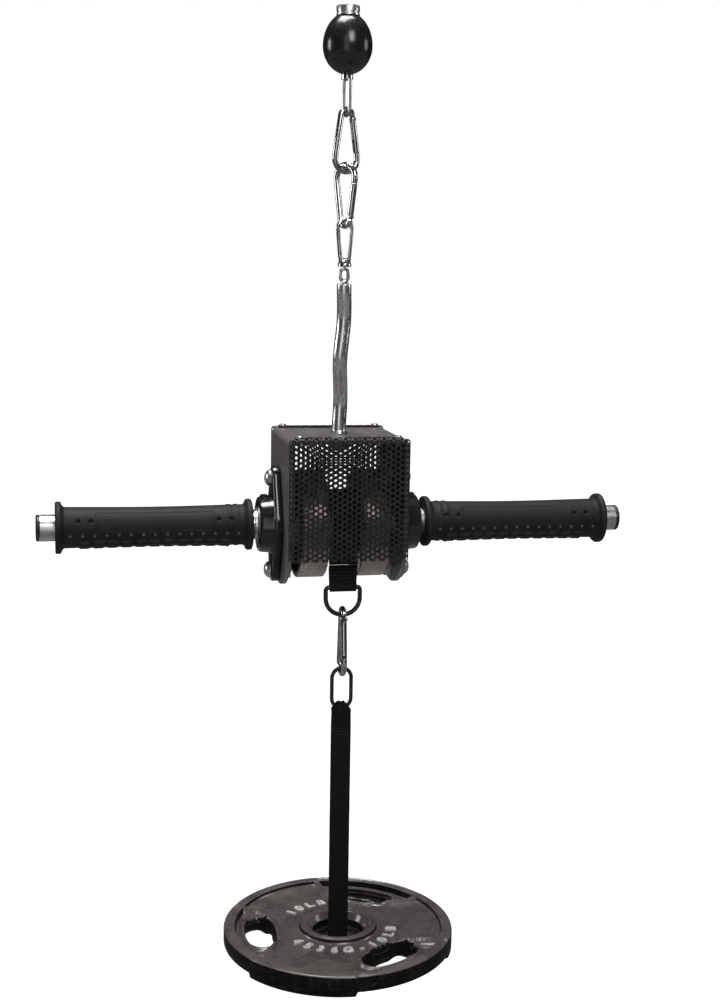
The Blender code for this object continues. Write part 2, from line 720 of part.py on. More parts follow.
def build_guards():
    """Two bent sheets with staggered rows of holes, the rear one the front one turned round."""
    low = -GUARD_BELOW_SHAFT
    high = SHAFT_DROP + SEAT_GAP + GUARD_SHEET - GUARD_BEND
    sheet = prism(guard_side(), -YOKE_HALF - PAST, YOKE_HALF + PAST, along="X")
    face = prism(guard_face(), -SIDE_RADIUS - GUARD_FLANGE, -SIDE_RADIUS + GUARD_FLANGE)
    sheet = combined(sheet, [face], "INTERSECT")
    columns = int(2 * (YOKE_INNER - GUARD_MARGIN) / HOLE_PITCH_SIDE) + 1
    rows = int((high - low - 2 * GUARD_MARGIN) / HOLE_PITCH_UP) + 1
    middle = (high + low) / 2
    cuts = []
    for column in range(columns):
        x = (column - (columns - 1) / 2) * HOLE_PITCH_SIDE
        stagger = HOLE_PITCH_UP / 4 if column % 2 else -HOLE_PITCH_UP / 4
        for row in range(rows):
            z = middle + (row - (rows - 1) / 2) * HOLE_PITCH_UP + stagger
            if low + GUARD_MARGIN < z < high - GUARD_MARGIN:
                ring = arc((x, z), HOLE_RADIUS, 0, math.tau * 5 / 6, 5)
                cuts.append(prism(ring, -SIDE_RADIUS - 3 * GUARD_SHEET, -SIDE_RADIUS + GUARD_SHEET))
    sheet = combined(sheet, cuts, "DIFFERENCE")
    place = (0, SHAFT_BACK, SHAFT_HEIGHT)
    rear = moved(sheet.copy(), turn=math.pi)
    add("front_guard", moved(sheet, by=place), black_paint)
    add("rear_guard", moved(rear, by=place), black_paint)


# Flange bearings

def casting_outline():
    """Rhombic flange: the hull of a wide circle at the shaft and a small one at each bolt."""
    bolt = BEARING_BOLT_SPACING / 2
    lean = math.asin((CASTING_WAIST_RADIUS - CASTING_END_RADIUS) / bolt)
    outline = arc((0, 0), CASTING_WAIST_RADIUS, -lean, lean, 3)
    outline += arc((0, bolt), CASTING_END_RADIUS, lean, math.pi - lean, 8)
    outline += arc((0, 0), CASTING_WAIST_RADIUS, math.pi - lean, math.pi + lean, 3)
    outline += arc((0, -bolt), CASTING_END_RADIUS, math.pi + lean, math.tau - lean, 8)
    return outline


def build_bearing(side, sign):
    """One flange bearing, modelled on the +X side of the shaft's centre and turned for -X."""
    face = YOKE_HALF + SEAT_GAP
    flange = prism(casting_outline(), face, face + CASTING_THICK, along="X")
    hub = turned([
        (0, face + CASTING_THICK / 2), (HUB_BASE_RADIUS, face + CASTING_THICK / 2),
        (HUB_TIP_RADIUS, face + HUB_REACH - WIDE_CHAMFER),
        (HUB_TIP_RADIUS - WIDE_CHAMFER, face + HUB_REACH), (0, face + HUB_REACH),
    ], SIDES, "X")
    casting = combined(flange, [hub], "UNION")
    low, high = face - PAST, face + HUB_REACH + PAST
    cuts = [cylinder(INSERT_RADIUS + SEAT_GAP, low, high, SIDES, "X")]
    for rise in (-1, 1):
        bolt = cylinder(BOLT_RADIUS + SEAT_GAP, low, high, SIDES_SMALL, "X")
        cuts.append(moved(bolt, by=(0, 0, rise * BEARING_BOLT_SPACING / 2)))
    casting = combined(casting, cuts, "DIFFERENCE")

    insert_low = face + INSERT_INSET
    insert_high = face + HUB_REACH - INSERT_SUNK
    outer = turned([
        (INNER_RING_RADIUS + SEAT_GAP, insert_low), (INSERT_RADIUS, insert_low),
        (INSERT_RADIUS, insert_high), (INNER_RING_RADIUS + SEAT_GAP, insert_high),
    ], SIDES, "X")
    bore = TUBE_RADIUS + SEAT_GAP
    inner = turned([
        (bore, face), (INNER_RING_RADIUS, face),
        (INNER_RING_RADIUS, face + INNER_RING_REACH - CHAMFER),
        (INNER_RING_RADIUS - CHAMFER, face + INNER_RING_REACH), (bore, face + INNER_RING_REACH),
    ], SIDES, "X")
    place = (0, SHAFT_BACK, SHAFT_HEIGHT)
    turn = 0 if sign > 0 else math.pi
    add(f"bearing_housing_{side}", moved(casting, place, turn), black_paint)
    add(f"bearing_outer_ring_{side}", moved(outer, place, turn), steel)
    add(f"bearing_inner_ring_{side}", moved(inner, place, turn), steel)


def build_fasteners():
    """Domed bolts through casting and yoke, with a nut inside each."""
    face = YOKE_HALF + SEAT_GAP + CASTING_THICK + SEAT_GAP
    nut_high = YOKE_INNER - SEAT_GAP
    nut_low = nut_high - NUT_HEIGHT
    dome = [(BOLT_HEAD_RADIUS * math.cos(a), face + BOLT_HEAD_HEIGHT * math.sin(a))
            for a in np.linspace(BOLT_HEAD_SKIRT, math.pi / 2, 4)]
    end = nut_low - BOLT_SHOWS
    bolt = turned([
        (0, end), (BOLT_RADIUS, end), (BOLT_RADIUS, face), (dome[0][0], face),
        *dome[:-1], (0, dome[-1][1]),
    ], SIDES_SMALL, "X")
    nut = prism(hexagon(NUT_ACROSS), nut_low, nut_high, along="X")
    hole = cylinder(BOLT_RADIUS + SEAT_GAP, nut_low - PAST, nut_high + PAST, SIDES_SMALL, "X")
    nut = combined(nut, [hole], "DIFFERENCE")
    for side, turn in (("right", 0), ("left", math.pi)):
        for level, rise in (("lower", -1), ("upper", 1)):
            place = (0, SHAFT_BACK, SHAFT_HEIGHT + rise * BEARING_BOLT_SPACING / 2)
            add(f"flange_bolt_{side}_{level}", moved(bolt.copy(), place, turn), steel)
            add(f"flange_nut_{side}_{level}", moved(nut.copy(), place, turn), steel)


# Roller

def build_roller():
    place = (0, SHAFT_BACK, SHAFT_HEIGHT)
    half = TUBE_LENGTH / 2
    tube = turned([
        (TUBE_RADIUS - TUBE_WALL, -half), (TUBE_RADIUS, -half),
        (TUBE_RADIUS, half), (TUBE_RADIUS - TUBE_WALL, half),
    ], SIDES, "X")
    add("roller_tube", moved(tube, place), steel)

    bore = TUBE_RADIUS + SEAT_GAP
    near = DRUM_SPACE / 2
    far = YOKE_INNER - SEAT_GAP - NUT_HEIGHT - BOLT_SHOWS - DRUM_BOLT_GAP
    rim = SIDE_RADIUS + SEAT_GAP - DRUM_GUARD_GAP
    shell = turned([
        (bore, near), (rim - DRUM_EDGE, near), (rim, near + DRUM_EDGE), (rim, far - DRUM_EDGE),
        (rim - DRUM_EDGE, far), (rim - DRUM_WALL, far), (rim - DRUM_WALL, near + DRUM_WALL),
        (DRUM_HUB_RADIUS, near + DRUM_WALL), (DRUM_HUB_RADIUS, far), (bore, far),
    ], SIDES_LARGE, "X")
    mirror = moved(shell.copy(), turn=math.pi)
    add("drum_right", moved(shell, place), drum_metal)
    add("drum_left", moved(mirror, place), drum_metal)

    core_radius = WOUND_RADIUS - STRAP_PITCH * STRAP_TURNS - STRAP_THICK / 2 - SEAT_GAP
    core_half = near - SEAT_GAP
    core = turned([
        (bore, -core_half), (core_radius, -core_half), (core_radius, core_half), (bore, core_half),
    ], SIDES, "X")
    add("spool_core", moved(core, place), drum_metal)

    # The grip: flange, two rings, long body and outer flange, turned round the tube
    grip_start = YOKE_HALF + SEAT_GAP + INNER_RING_REACH + GRIP_GAP
    grip_length = half - TUBE_SHOWS - grip_start
    crest = GRIP_RADIUS + GRIP_RING_RISE
    rings = []
    for start in GRIP_RINGS_AT:
        stop = start + GRIP_RING
        rings += [
            (GRIP_RADIUS, start), (crest, start + CHAMFER), (crest, stop - CHAMFER),
            (GRIP_RADIUS, stop),
        ]
    flange = [
        (GRIP_FLANGE_RADIUS - CHAMFER, 0), (GRIP_FLANGE_RADIUS, CHAMFER),
        (GRIP_FLANGE_RADIUS, GRIP_FLANGE - WIDE_CHAMFER),
        (GRIP_RADIUS + CHAMFER, GRIP_FLANGE + CHAMFER),
    ]
    end = [(radius, grip_length - start) for radius, start in reversed(flange)]
    profile = [(bore, 0)] + flange + rings + end + [(bore, grip_length)]
    grip = turned([(radius, grip_start + start) for radius, start in profile], SIDES, "X")
    other = moved(grip.copy(), turn=math.pi)
    add("grip_right", moved(grip, place), rubber)
    add("grip_left", moved(other, place), rubber)

    inside = TUBE_RADIUS - TUBE_WALL - SEAT_GAP
    cap_low = half + SEAT_GAP
    cap_high = cap_low + CAP_THICK
    cap = turned([
        (0, half - CAP_PLUG), (inside, half - CAP_PLUG), (inside, cap_low), (TUBE_RADIUS, cap_low),
        (TUBE_RADIUS, cap_high - CHAMFER), (TUBE_RADIUS - WIDE_CHAMFER, cap_high), (0, cap_high),
    ], SIDES, "X")
    other = moved(cap.copy(), turn=math.pi)
    add("end_cap_right", moved(cap, place), gloss_black)
    add("end_cap_left", moved(other, place), gloss_black)


# Straps, rings and load hook

LOAD_LINE = SHAFT_BACK - WOUND_RADIUS
D_BAR = SHAFT_HEIGHT - D_RING_DROP
D_BOTTOM = D_BAR - D_RING_HEIGHT
LOAD_TOP = D_BOTTOM + link_step(D_RING_WIRE, SNAP_WIRE)
LOAD_WIDE = LOAD_TOP - LOAD.top
LOAD_BOTTOM = LOAD_WIDE - LOAD.wide
OVAL_TOP = LOAD_BOTTOM + link_step(SNAP_WIRE, OVAL_WIRE)
OVAL_BOTTOM = OVAL_TOP - OVAL_LENGTH + OVAL_WIRE
STRAP_BOTTOM = OVAL_BOTTOM - LOADING_LENGTH


def build_wound_strap():
    """One band wound in a spiral on the core. Its outer end points down at the front."""
    steps = STRAP_TURNS * TURN_STEPS
    half_width = STRAP_WIDTH / 2
    half_thick = STRAP_THICK / 2
    bm = bmesh.new()
    rings = []
    centres = []
    for i in range(steps + 1):
        turned_by = math.tau * i / TURN_STEPS
        angle = math.pi - turned_by
        radius = WOUND_RADIUS - STRAP_PITCH * turned_by / math.tau
        out = Vector((0, math.cos(angle), math.sin(angle)))
        centre = Vector((0, SHAFT_BACK, SHAFT_HEIGHT)) + out * radius
        centres.append(centre)
        across = Vector((half_width, 0, 0))
        through = out * half_thick
        corners = (centre + across + through, centre - across + through,
                   centre - across - through, centre + across - through)
        rings.append([bm.verts.new(c) for c in corners])
    for ring, following in zip(rings, rings[1:]):
        for k in range(4):
            n = (k + 1) % 4
            bm.faces.new((ring[k], ring[n], following[n], following[k]))
    bm.faces.new(rings[0])
    bm.faces.new(rings[-1])
    add("wound_strap", to_mesh(bm), webbing)
    gaps = [(centres[i] - centres[i + TURN_STEPS]).length - STRAP_THICK
            for i in range(steps + 1 - TURN_STEPS)]
    print(f"wound_strap least gap to itself: {min(gaps) * 1000:.2f} mm")


def build_lift_strap():
    """The free run from the drum's front down to the sewn loop, and the loop round the bar."""
    half = STRAP_WIDTH / 2
    front = LOAD_LINE - STRAP_THICK / 2
    back = LOAD_LINE + STRAP_THICK / 2
    run_low = D_BAR + END_LOOP_LENGTH
    run = box((-half, front, run_low + SEAT_GAP), (half, back, SHAFT_HEIGHT - SEAT_GAP))
    add("lift_strap", run, webbing)

    inner = D_RING_WIRE / 2 + SEAT_GAP
    outer = inner + STRAP_THICK
    neck = math.pi / 2 - math.asin(STRAP_THICK / outer)
    outline = arc((LOAD_LINE, D_BAR), outer, math.pi - neck, math.tau + neck, 14)
    top = (LOAD_LINE + STRAP_THICK, run_low)
    outline += [(top[0], top[1] - STRAP_THICK), (top[0] - STRAP_THICK, top[1]), (front, run_low)]
    outline += [(front, D_BAR + outer + STRAP_THICK)]
    loop = prism(outline, -half, half, along="X")
    bore = cylinder(inner, -STRAP_WIDTH, STRAP_WIDTH, SIDES_SMALL, "X")
    loop = combined(loop, [moved(bore, by=(0, LOAD_LINE, D_BAR))], "DIFFERENCE")
    add("strap_end_loop", loop, webbing)


def build_d_ring():
    """A straight bar above a round bow, one closed wire."""
    bow = (D_RING_INNER_WIDTH + D_RING_WIRE) / 2
    corner = D_RING_CORNER
    line = arc((0, D_BOTTOM + bow), bow, math.pi, math.tau, 14)
    line += arc((bow - corner, D_BAR - corner), corner, 0, math.pi / 2, 3)
    line += arc((-bow + corner, D_BAR - corner), corner, math.pi / 2, math.pi, 3)
    ring = wire([(u, LOAD_LINE, v) for u, v in line], D_RING_WIRE / 2, closed=True)
    add("d_ring", ring, black_paint)


def build_load_link():
    build_hook("load_hook", LOAD, (0, LOAD_LINE, LOAD_WIDE), -math.pi / 2)
    bend = (OVAL_WIDTH - OVAL_WIRE) / 2
    line = arc((0, OVAL_TOP - bend), bend, 0, math.pi, 9)
    line += arc((0, OVAL_BOTTOM + bend), bend, math.pi, math.tau, 9)
    ring = wire([(u, LOAD_LINE, v) for u, v in line], OVAL_WIRE / 2, closed=True)
    add("oval_ring", ring, black_paint)


def build_loading_strap():
    """Doubled webbing: a narrow loop in the oval ring, a flat run and a loop round the pin."""
    thick = STRAP_THICK
    inner = OVAL_WIRE / 2 + SEAT_GAP + LOOP_PLAY
    outer = inner + STRAP_THICK
    half_loop = LOADING_LOOP_WIDTH / 2
    bend = (OVAL_WIDTH - OVAL_WIRE) / 2
    lean = math.asin(half_loop / bend)
    rise = bend * (1 - math.cos(lean)) + OVAL_WIRE / 2 * (1 / math.cos(lean) - 1)
    top_centre = OVAL_BOTTOM + rise - LOOP_PLAY
    pin_inner = STOP_PIN_RADIUS + SEAT_GAP
    pin_outer = pin_inner + STRAP_THICK
    neck = math.asin(thick / outer)
    low_neck = math.asin(thick / pin_outer)
    outline = arc((0, top_centre), outer, 0, math.pi, 8)
    outline += arc((0, OVAL_BOTTOM), outer, math.pi, math.pi * 1.5 - neck, 3)
    outline += arc((0, STRAP_BOTTOM), pin_outer, math.pi / 2 + low_neck,
                   math.pi * 2.5 - low_neck, 14)
    outline += arc((0, OVAL_BOTTOM), outer, math.pi * 1.5 + neck, math.tau, 3)
    strap = prism(outline, -LOADING_WIDTH / 2, LOADING_WIDTH / 2, along="X")

    # The top is gathered to the width that the ring takes
    bm = bmesh.new()
    bm.from_mesh(strap)
    taper_low = OVAL_BOTTOM - outer - LOADING_TAPER
    plane = {"plane_co": (0, 0, taper_low), "plane_no": (0, 0, 1)}
    bmesh.ops.bisect_plane(bm, geom=bm.verts[:] + bm.edges[:] + bm.faces[:], **plane)
    full = LOADING_WIDTH / 2
    for v in bm.verts:
        share = min(1, max(0, (v.co.z - taper_low) / LOADING_TAPER))
        width = full + (half_loop - full) * share
        v.co.x = math.copysign(width, v.co.x)
    strap = to_mesh(bm)

    slot = arc((0, top_centre), inner, 0, math.pi, 6) + arc((0, OVAL_BOTTOM), inner, math.pi, math.tau, 6)
    pin_hole = cylinder(pin_inner, -LOADING_WIDTH, LOADING_WIDTH, SIDES_SMALL, "X")
    cuts = [prism(slot, -LOADING_WIDTH, LOADING_WIDTH, along="X"),
            moved(pin_hole, by=(0, 0, STRAP_BOTTOM))]
    strap = combined(strap, cuts, "DIFFERENCE")
    add("loading_strap", moved(strap, by=(0, LOAD_LINE, 0)), webbing)

    # The disc sits on the strap's lower loop, which its pin keeps from pulling through
    disc_low = STRAP_BOTTOM + pin_outer + SEAT_GAP
    disc = turned([
        (0, disc_low), (STOP_DISC_RADIUS - CHAMFER, disc_low),
        (STOP_DISC_RADIUS, disc_low + CHAMFER), (STOP_DISC_RADIUS, disc_low + STOP_DISC_THICK),
        (0, disc_low + STOP_DISC_THICK),
    ], SIDES_LARGE)
    half = LOADING_WIDTH / 2 + SEAT_GAP
    deep = thick + SEAT_GAP
    slit = box((-half, -deep, disc_low - thick), (half, deep, disc_low + STOP_DISC_THICK + thick))
    disc = combined(disc, [slit], "DIFFERENCE")
    add("stop_disc", moved(disc, by=(0, LOAD_LINE, 0)), steel)
    pin = cylinder(STOP_PIN_RADIUS, -STOP_PIN_LENGTH / 2, STOP_PIN_LENGTH / 2, SIDES_SMALL, "X")
    add("stop_pin", moved(pin, by=(0, LOAD_LINE, STRAP_BOTTOM)), steel)


# Weight plate

PLATE_BOTTOM = STRAP_BOTTOM + STOP_PIN_RADIUS + 3 * SEAT_GAP + STRAP_THICK + STOP_DISC_THICK
PLATE_TOP = PLATE_BOTTOM + PLATE_THICK


def bean(radius, steps=5):
    """Outline of a grip slot along the plate's ring, centred on +X."""
    ring = SLOT_AT_RADIUS
    ends = [(ring * math.cos(a), ring * math.sin(a)) for a in (SLOT_SPREAD, -SLOT_SPREAD)]
    outline = arc((0, 0), ring + radius, -SLOT_SPREAD, SLOT_SPREAD, steps)
    outline += arc(ends[0], radius, SLOT_SPREAD, SLOT_SPREAD + math.pi, steps)[1:]
    outline += arc((0, 0), ring - radius, SLOT_SPREAD, -SLOT_SPREAD, steps)[1:]
    outline += arc(ends[1], radius, math.pi - SLOT_SPREAD, math.tau - SLOT_SPREAD, steps)[1:-1]
    return outline


def build_plate():
    """Turned disc with a rim, a recessed face and a hub, and three lipped grip slots."""
    half = PLATE_THICK / 2
    face = half - PLATE_RECESS
    edge = PLATE_EDGE
    rim = PLATE_RADIUS - PLATE_RIM
    upper = [
        (PLATE_HOLE_RADIUS, half - edge), (PLATE_HOLE_RADIUS + edge * 2, half),
        (PLATE_HUB_RADIUS, half), (PLATE_HUB_RADIUS + edge, face),
        (rim - edge, face), (rim, half), (PLATE_RADIUS - edge, half), (PLATE_RADIUS, half - edge),
    ]
    lower = [
        (PLATE_RADIUS, edge - half), (PLATE_RADIUS - edge, -half), (rim, -half), (rim - edge, -face),
        (PLATE_HUB_RADIUS + edge, -face), (PLATE_HUB_RADIUS, -half), (PLATE_HOLE_RADIUS, -half),
    ]
    plate = turned(upper + lower, SIDES_LARGE)
    lips = []
    slots = []
    for k in range(SLOT_COUNT):
        turn = SLOT_FIRST + math.tau * k / SLOT_COUNT
        lip = prism(bean(SLOT_RADIUS + SLOT_LIP), LIP_SUNK - half, half - LIP_SUNK, along="Z")
        slot = prism(bean(SLOT_RADIUS), -PLATE_THICK, PLATE_THICK, along="Z")
        lips.append(moved(lip, turn=turn))
        slots.append(moved(slot, turn=turn))
    plate = combined(plate, lips, "UNION")
    plate = combined(plate, slots, "DIFFERENCE")
    place = (0, LOAD_LINE, PLATE_BOTTOM + half)
    add("weight_plate", moved(plate, place), cast_iron)


build_cable_end()
build_upper_hooks()
build_swivel_eye()
build_rod()
build_yoke()
build_guards()
build_bearing("right", 1)
build_bearing("left", -1)
build_fasteners()
build_roller()
build_wound_strap()
build_lift_strap()
build_d_ring()
build_load_link()
build_loading_strap()
build_plate()
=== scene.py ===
import math

import bpy
from mathutils import Matrix, Vector


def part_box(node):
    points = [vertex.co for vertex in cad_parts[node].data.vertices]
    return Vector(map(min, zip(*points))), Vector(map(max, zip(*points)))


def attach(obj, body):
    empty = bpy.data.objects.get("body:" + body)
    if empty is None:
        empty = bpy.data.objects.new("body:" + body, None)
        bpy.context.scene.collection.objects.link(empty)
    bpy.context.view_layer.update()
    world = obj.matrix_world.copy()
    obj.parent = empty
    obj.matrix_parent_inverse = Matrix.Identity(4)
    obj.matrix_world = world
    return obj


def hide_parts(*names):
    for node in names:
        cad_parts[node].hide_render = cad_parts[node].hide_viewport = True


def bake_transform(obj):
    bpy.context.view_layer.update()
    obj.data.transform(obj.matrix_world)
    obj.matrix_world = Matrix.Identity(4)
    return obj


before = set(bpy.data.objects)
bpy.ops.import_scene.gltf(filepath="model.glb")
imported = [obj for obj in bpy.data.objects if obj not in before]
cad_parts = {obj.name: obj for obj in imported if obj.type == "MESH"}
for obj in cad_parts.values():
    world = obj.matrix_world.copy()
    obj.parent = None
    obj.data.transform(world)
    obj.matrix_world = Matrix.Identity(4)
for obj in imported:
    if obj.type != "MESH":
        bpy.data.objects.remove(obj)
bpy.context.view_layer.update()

# Camera: how far it stands round the object, looks down, aims past the cable's line and tilts
CAMERA_TURN = math.radians(11)
CAMERA_PITCH = math.radians(8.99)
CAMERA_AIM = math.radians(0.754)
CAMERA_ROLL = math.radians(0.96)
CAMERA_DISTANCE = 1.3932
CAMERA_HEIGHT = -0.2384
CAMERA_LENS = 52.56
FLOOR_HEIGHT = -1.25

# Hooks: length, wire, wide end and narrow end, as in the solids
SNAP = (0.062, 0.006, 0.0295, 0.018)
SWIVEL = (0.0445, 0.004, 0.0185, 0.013)
LOAD = (0.070, 0.006, 0.0295, 0.018)
HOOK_1_TURN = math.radians(19)
HOOK_2_TURN = math.radians(-55)
SWIVEL_TURN = math.radians(195)
LOAD_TURN = math.radians(-90)
WIRE_SHARE = 0.965  # the solids' wires are many-sided, so a round one is drawn a little thinner
TONGUE_SHARE = 0.175  # half the tongue's thickness, as a share of the wire's

# Rings
D_WIRE = 0.00225
OVAL_WIRE = 0.002

# Yoke, and the perforated sheet of its guards
YOKE_SHEET = 0.004
YOKE_CORNER = 0.006
GUARD_SHEET = 0.0015
GUARD_BEND = 0.002
GUARD_CORNER = 0.0078
HOLE_PITCH = 0.0053
HOLE_SIZE = 0.00175

# Flange bearings
BOLT_RISE = 0.045
BOLT_HOLE = 0.0051
FLANGE_THICK = 0.008
GAP = 0.0003  # between pieces that seat on each other, as in the solids

# Grips, with places along them in metres and round them in radians up from the front
GRIP_BORE = 0.0130
GRIP_RADIUS = 0.0197
GRIP_FLANGE_RADIUS = 0.0248
GRIP_FLANGE_END = 0.0092
STUD_PITCH = 0.0113
STUDS_AT = -0.26
DIMPLES_AT = 0.46
DIMPLE_RADIUS = 0.0023
PANEL_AT = 0.42
PANEL_HALF = 0.54
BLOCK_PITCH = 0.0132
BLOCK_ROWS = (-0.62, -0.98, -1.34, -1.70, -2.06, -2.42, -2.78)

# Webbing
WEBBING_THICK = 0.002
WOUND_RADIUS = 0.033
WOUND_PITCH = 0.0026
WOUND_TURNS = 4
STRAP_CUP = math.radians(42)  # how far the loading strap wraps round the oval ring's bow, to each side
PIN_ROOM = 0.0043  # the stop pin's radius, with room for the loading strap to lie round it
STITCH = (0.00115, 0.00034, 0.00034)

# Weight plate: hub, rim, the pockets round the grip slots, and the slots
PLATE_HOLE = 0.0255
PLATE_HUB = 0.0375
PLATE_RIM = 0.0105
PLATE_SINK = 0.0038
POCKET_AT = 0.114
POCKET_DEEP = 0.052
POCKET_WIDE = 0.063
HANDLE_HALF = math.radians(32)
HANDLE_LIFT = 0.0045
SLOT_RING = 0.0790
SLOT_HALF = 0.0132
SLOT_SPREAD = math.radians(13)
SLOT_ANGLES = (math.radians(60), math.radians(180), math.radians(300))


def middle(node):
    low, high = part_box(node)
    return (low + high) / 2


def smooth(value, low, high):
    """0 below low and 1 above high, with a soft step between."""
    share = min(1.0, max(0.0, (value - low) / (high - low)))
    return share * share * (3 - 2 * share)


def wrap(angle):
    """The same angle, between minus and plus half a turn."""
    return (angle + math.pi) % math.tau - math.pi


def grey(tone):
    return (tone, tone, tone, 1)


def set_all(thing, settings):
    for key, value in settings.items():
        setattr(thing, key, value)


SHAFT = middle("roller_tube")
SHAFT.x = 0.0
LOAD_LINE = middle("d_ring").y
FLANGE_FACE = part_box("yoke_frame")[1].x + GAP
SIDES = (("right", 1), ("left", -1))


# Node helpers

class Nodes:
    """Adds nodes to a material or to a shared effect and links them."""

    def __init__(self, tree):
        self.tree = tree
        self.shader = tree.nodes.get("Principled BSDF")

    def feed(self, socket, value):
        """Links another node's output to the socket, or sets it to a plain value."""
        if isinstance(value, bpy.types.NodeSocket):
            self.tree.links.new(value, socket)
        else:
            socket.default_value = value

    def add(self, kind, inputs=None, **settings):
        made = self.tree.nodes.new("ShaderNode" + kind)
        set_all(made, settings)
        for key, value in (inputs or {}).items():
            self.feed(made.inputs[key], value)
        return made

    def calc(self, operation, a, b=0.0):
        return self.add("Math", {0: a, 1: b}, operation=operation).outputs[0]

    def times(self, a, b):
        return self.calc("MULTIPLY", a, b)

    def plus(self, a, b):
        return self.calc("ADD", a, b)

    def span(self, value, low, high, to_low=0.0, to_high=1.0):
        """The value, moved from one range to another and held inside it."""
        return self.add("MapRange", {
            "Value": value, "From Min": low, "From Max": high, "To Min": to_low, "To Max": to_high,
        }).outputs["Result"]

    def colours(self, factor, first, second):
        return self.add("Mix", {0: factor, 6: first, 7: second}, data_type="RGBA").outputs[2]

    def grain(self, scale, detail, stretch=None, angles=(0, 0, 0)):
        """Noise on the piece's own coordinates, stretched along turned axes where that is given."""
        place = self.add("TexCoord").outputs["Object"]
        if stretch:
            place = self.add("Mapping", {"Vector": place, "Scale": stretch, "Rotation": angles}).outputs[0]
        return self.add("TexNoise", {"Vector": place, "Scale": scale, "Detail": detail}).outputs["Fac"]

    def bump(self, height, distance, strength, normal=None):
        inputs = {"Height": height, "Distance": distance, "Strength": strength}
        if normal:
            inputs["Normal"] = normal
        return self.add("Bump", inputs).outputs["Normal"]

    def use(self, effect, **values):
        """A shared effect's outputs, with its inputs set."""
        return self.add("Group", values, node_tree=effect).outputs

    def shade(self, **sockets):
        """Feeds the Principled shader's sockets, named with underscores for spaces."""
        for key, value in sockets.items():
            self.feed(self.shader.inputs[key.replace("_", " ")], value)

    def show(self, shading):
        """Sends another shader to the material's output."""
        self.feed(self.tree.nodes["Material Output"].inputs["Surface"], shading)


def new_effect(name, inputs, outputs):
    """An empty shared effect with named number inputs and number outputs."""
    tree = bpy.data.node_groups.new(name, "ShaderNodeTree")
    for label, value in inputs.items():
        socket = tree.interface.new_socket(label, in_out="INPUT", socket_type="NodeSocketFloat")
        socket.default_value = value
    for label in outputs:
        tree.interface.new_socket(label, in_out="OUTPUT", socket_type="NodeSocketFloat")
    given = tree.nodes.new("NodeGroupInput").outputs
    result = tree.nodes.new("NodeGroupOutput").inputs
    return Nodes(tree), given, result


def make_worn_edges():
    """Mask that is 1 on outer edges, where handling rubs them."""
    kit, given, result = new_effect("worn_edges", {"Radius": 0.0006, "Patches": 300.0}, ["Mask"])
    rounded = kit.add("Bevel", {"Radius": given["Radius"]}, samples=6).outputs["Normal"]
    straight = kit.add("NewGeometry").outputs["Normal"]
    same = kit.add("VectorMath", {0: rounded, 1: straight}, operation="DOT_PRODUCT").outputs["Value"]
    edge = kit.span(same, 0.99, 0.86)
    patches = kit.grain(given["Patches"], 4.0)
    kit.feed(result["Mask"], kit.times(edge, kit.span(patches, 0.38, 0.62)))
    return kit.tree


def make_hairlines():
    """Fine scratches that cross each other at several angles."""
    kit, given, result = new_effect("hairlines", {"Density": 60.0}, ["Mask"])
    total = 0.0
    for stretch, angles in (((1, 1, 14), (0.3, 0.5, 0.2)), ((16, 1, 1), (1.1, 0.2, 0.9)),
                            ((1, 18, 1), (0.5, 1.3, 0.4))):
        field = kit.grain(given["Density"], 5.0, stretch, angles)
        off_line = kit.calc("ABSOLUTE", kit.calc("SUBTRACT", field, 0.5))
        total = kit.calc("MAXIMUM", total, kit.span(off_line, 0.006, 0.0))
    kit.feed(result["Mask"], total)
    return kit.tree


def make_paint_skin():
    """Orange peel of sprayed paint, with a second, broader waviness."""
    kit, given, result = new_effect("paint_skin", {"Scale": 900.0}, ["Height", "Patches"])
    peel = kit.grain(given["Scale"], 2.0)
    broad = kit.grain(kit.times(given["Scale"], 0.08), 3.0)
    kit.feed(result["Height"], kit.plus(peel, kit.times(broad, 0.6)))
    kit.feed(result["Patches"], kit.span(broad, 0.35, 0.65))
    return kit.tree


def make_weave():
    """Twill of narrow webbing on the piece's own map, whose units are metres."""
    kit, given, result = new_effect("weave", {"Rib": 0.0013, "Pick": 0.0011}, ["Height", "Yarn"])
    place = kit.add("SeparateXYZ", {0: kit.add("UVMap", uv_map="webbing").outputs["UV"]}).outputs
    ribs = kit.calc("DIVIDE", place["X"], given["Rib"])
    column = kit.calc("FLOOR", ribs)
    picks = kit.calc("DIVIDE", place["Y"], given["Pick"])
    lean = kit.times(kit.calc("PINGPONG", column, 4.0), 0.25)
    picks = kit.plus(picks, lean)
    rib_round = kit.calc("SINE", kit.times(kit.calc("FRACT", ribs), math.pi))
    pick_round = kit.calc("SINE", kit.times(kit.calc("FRACT", picks), math.pi))
    height = kit.times(kit.calc("POWER", rib_round, 0.5), kit.calc("POWER", pick_round, 0.6))
    kit.feed(result["Height"], height)
    seed = kit.plus(kit.times(column, 7.31), kit.calc("FLOOR", picks))
    shade = kit.add("TexWhiteNoise", {"W": seed}, noise_dimensions="1D").outputs["Value"]
    kit.feed(result["Yarn"], shade)
    return kit.tree


WORN_EDGES = make_worn_edges()
HAIRLINES = make_hairlines()
PAINT_SKIN = make_paint_skin()
WEAVE = make_weave()


def new_surface(name):
    """A material, with a helper to add nodes to it."""
    made = bpy.data.materials.new(name)
    made.use_nodes = True
    return made, Nodes(made.node_tree)


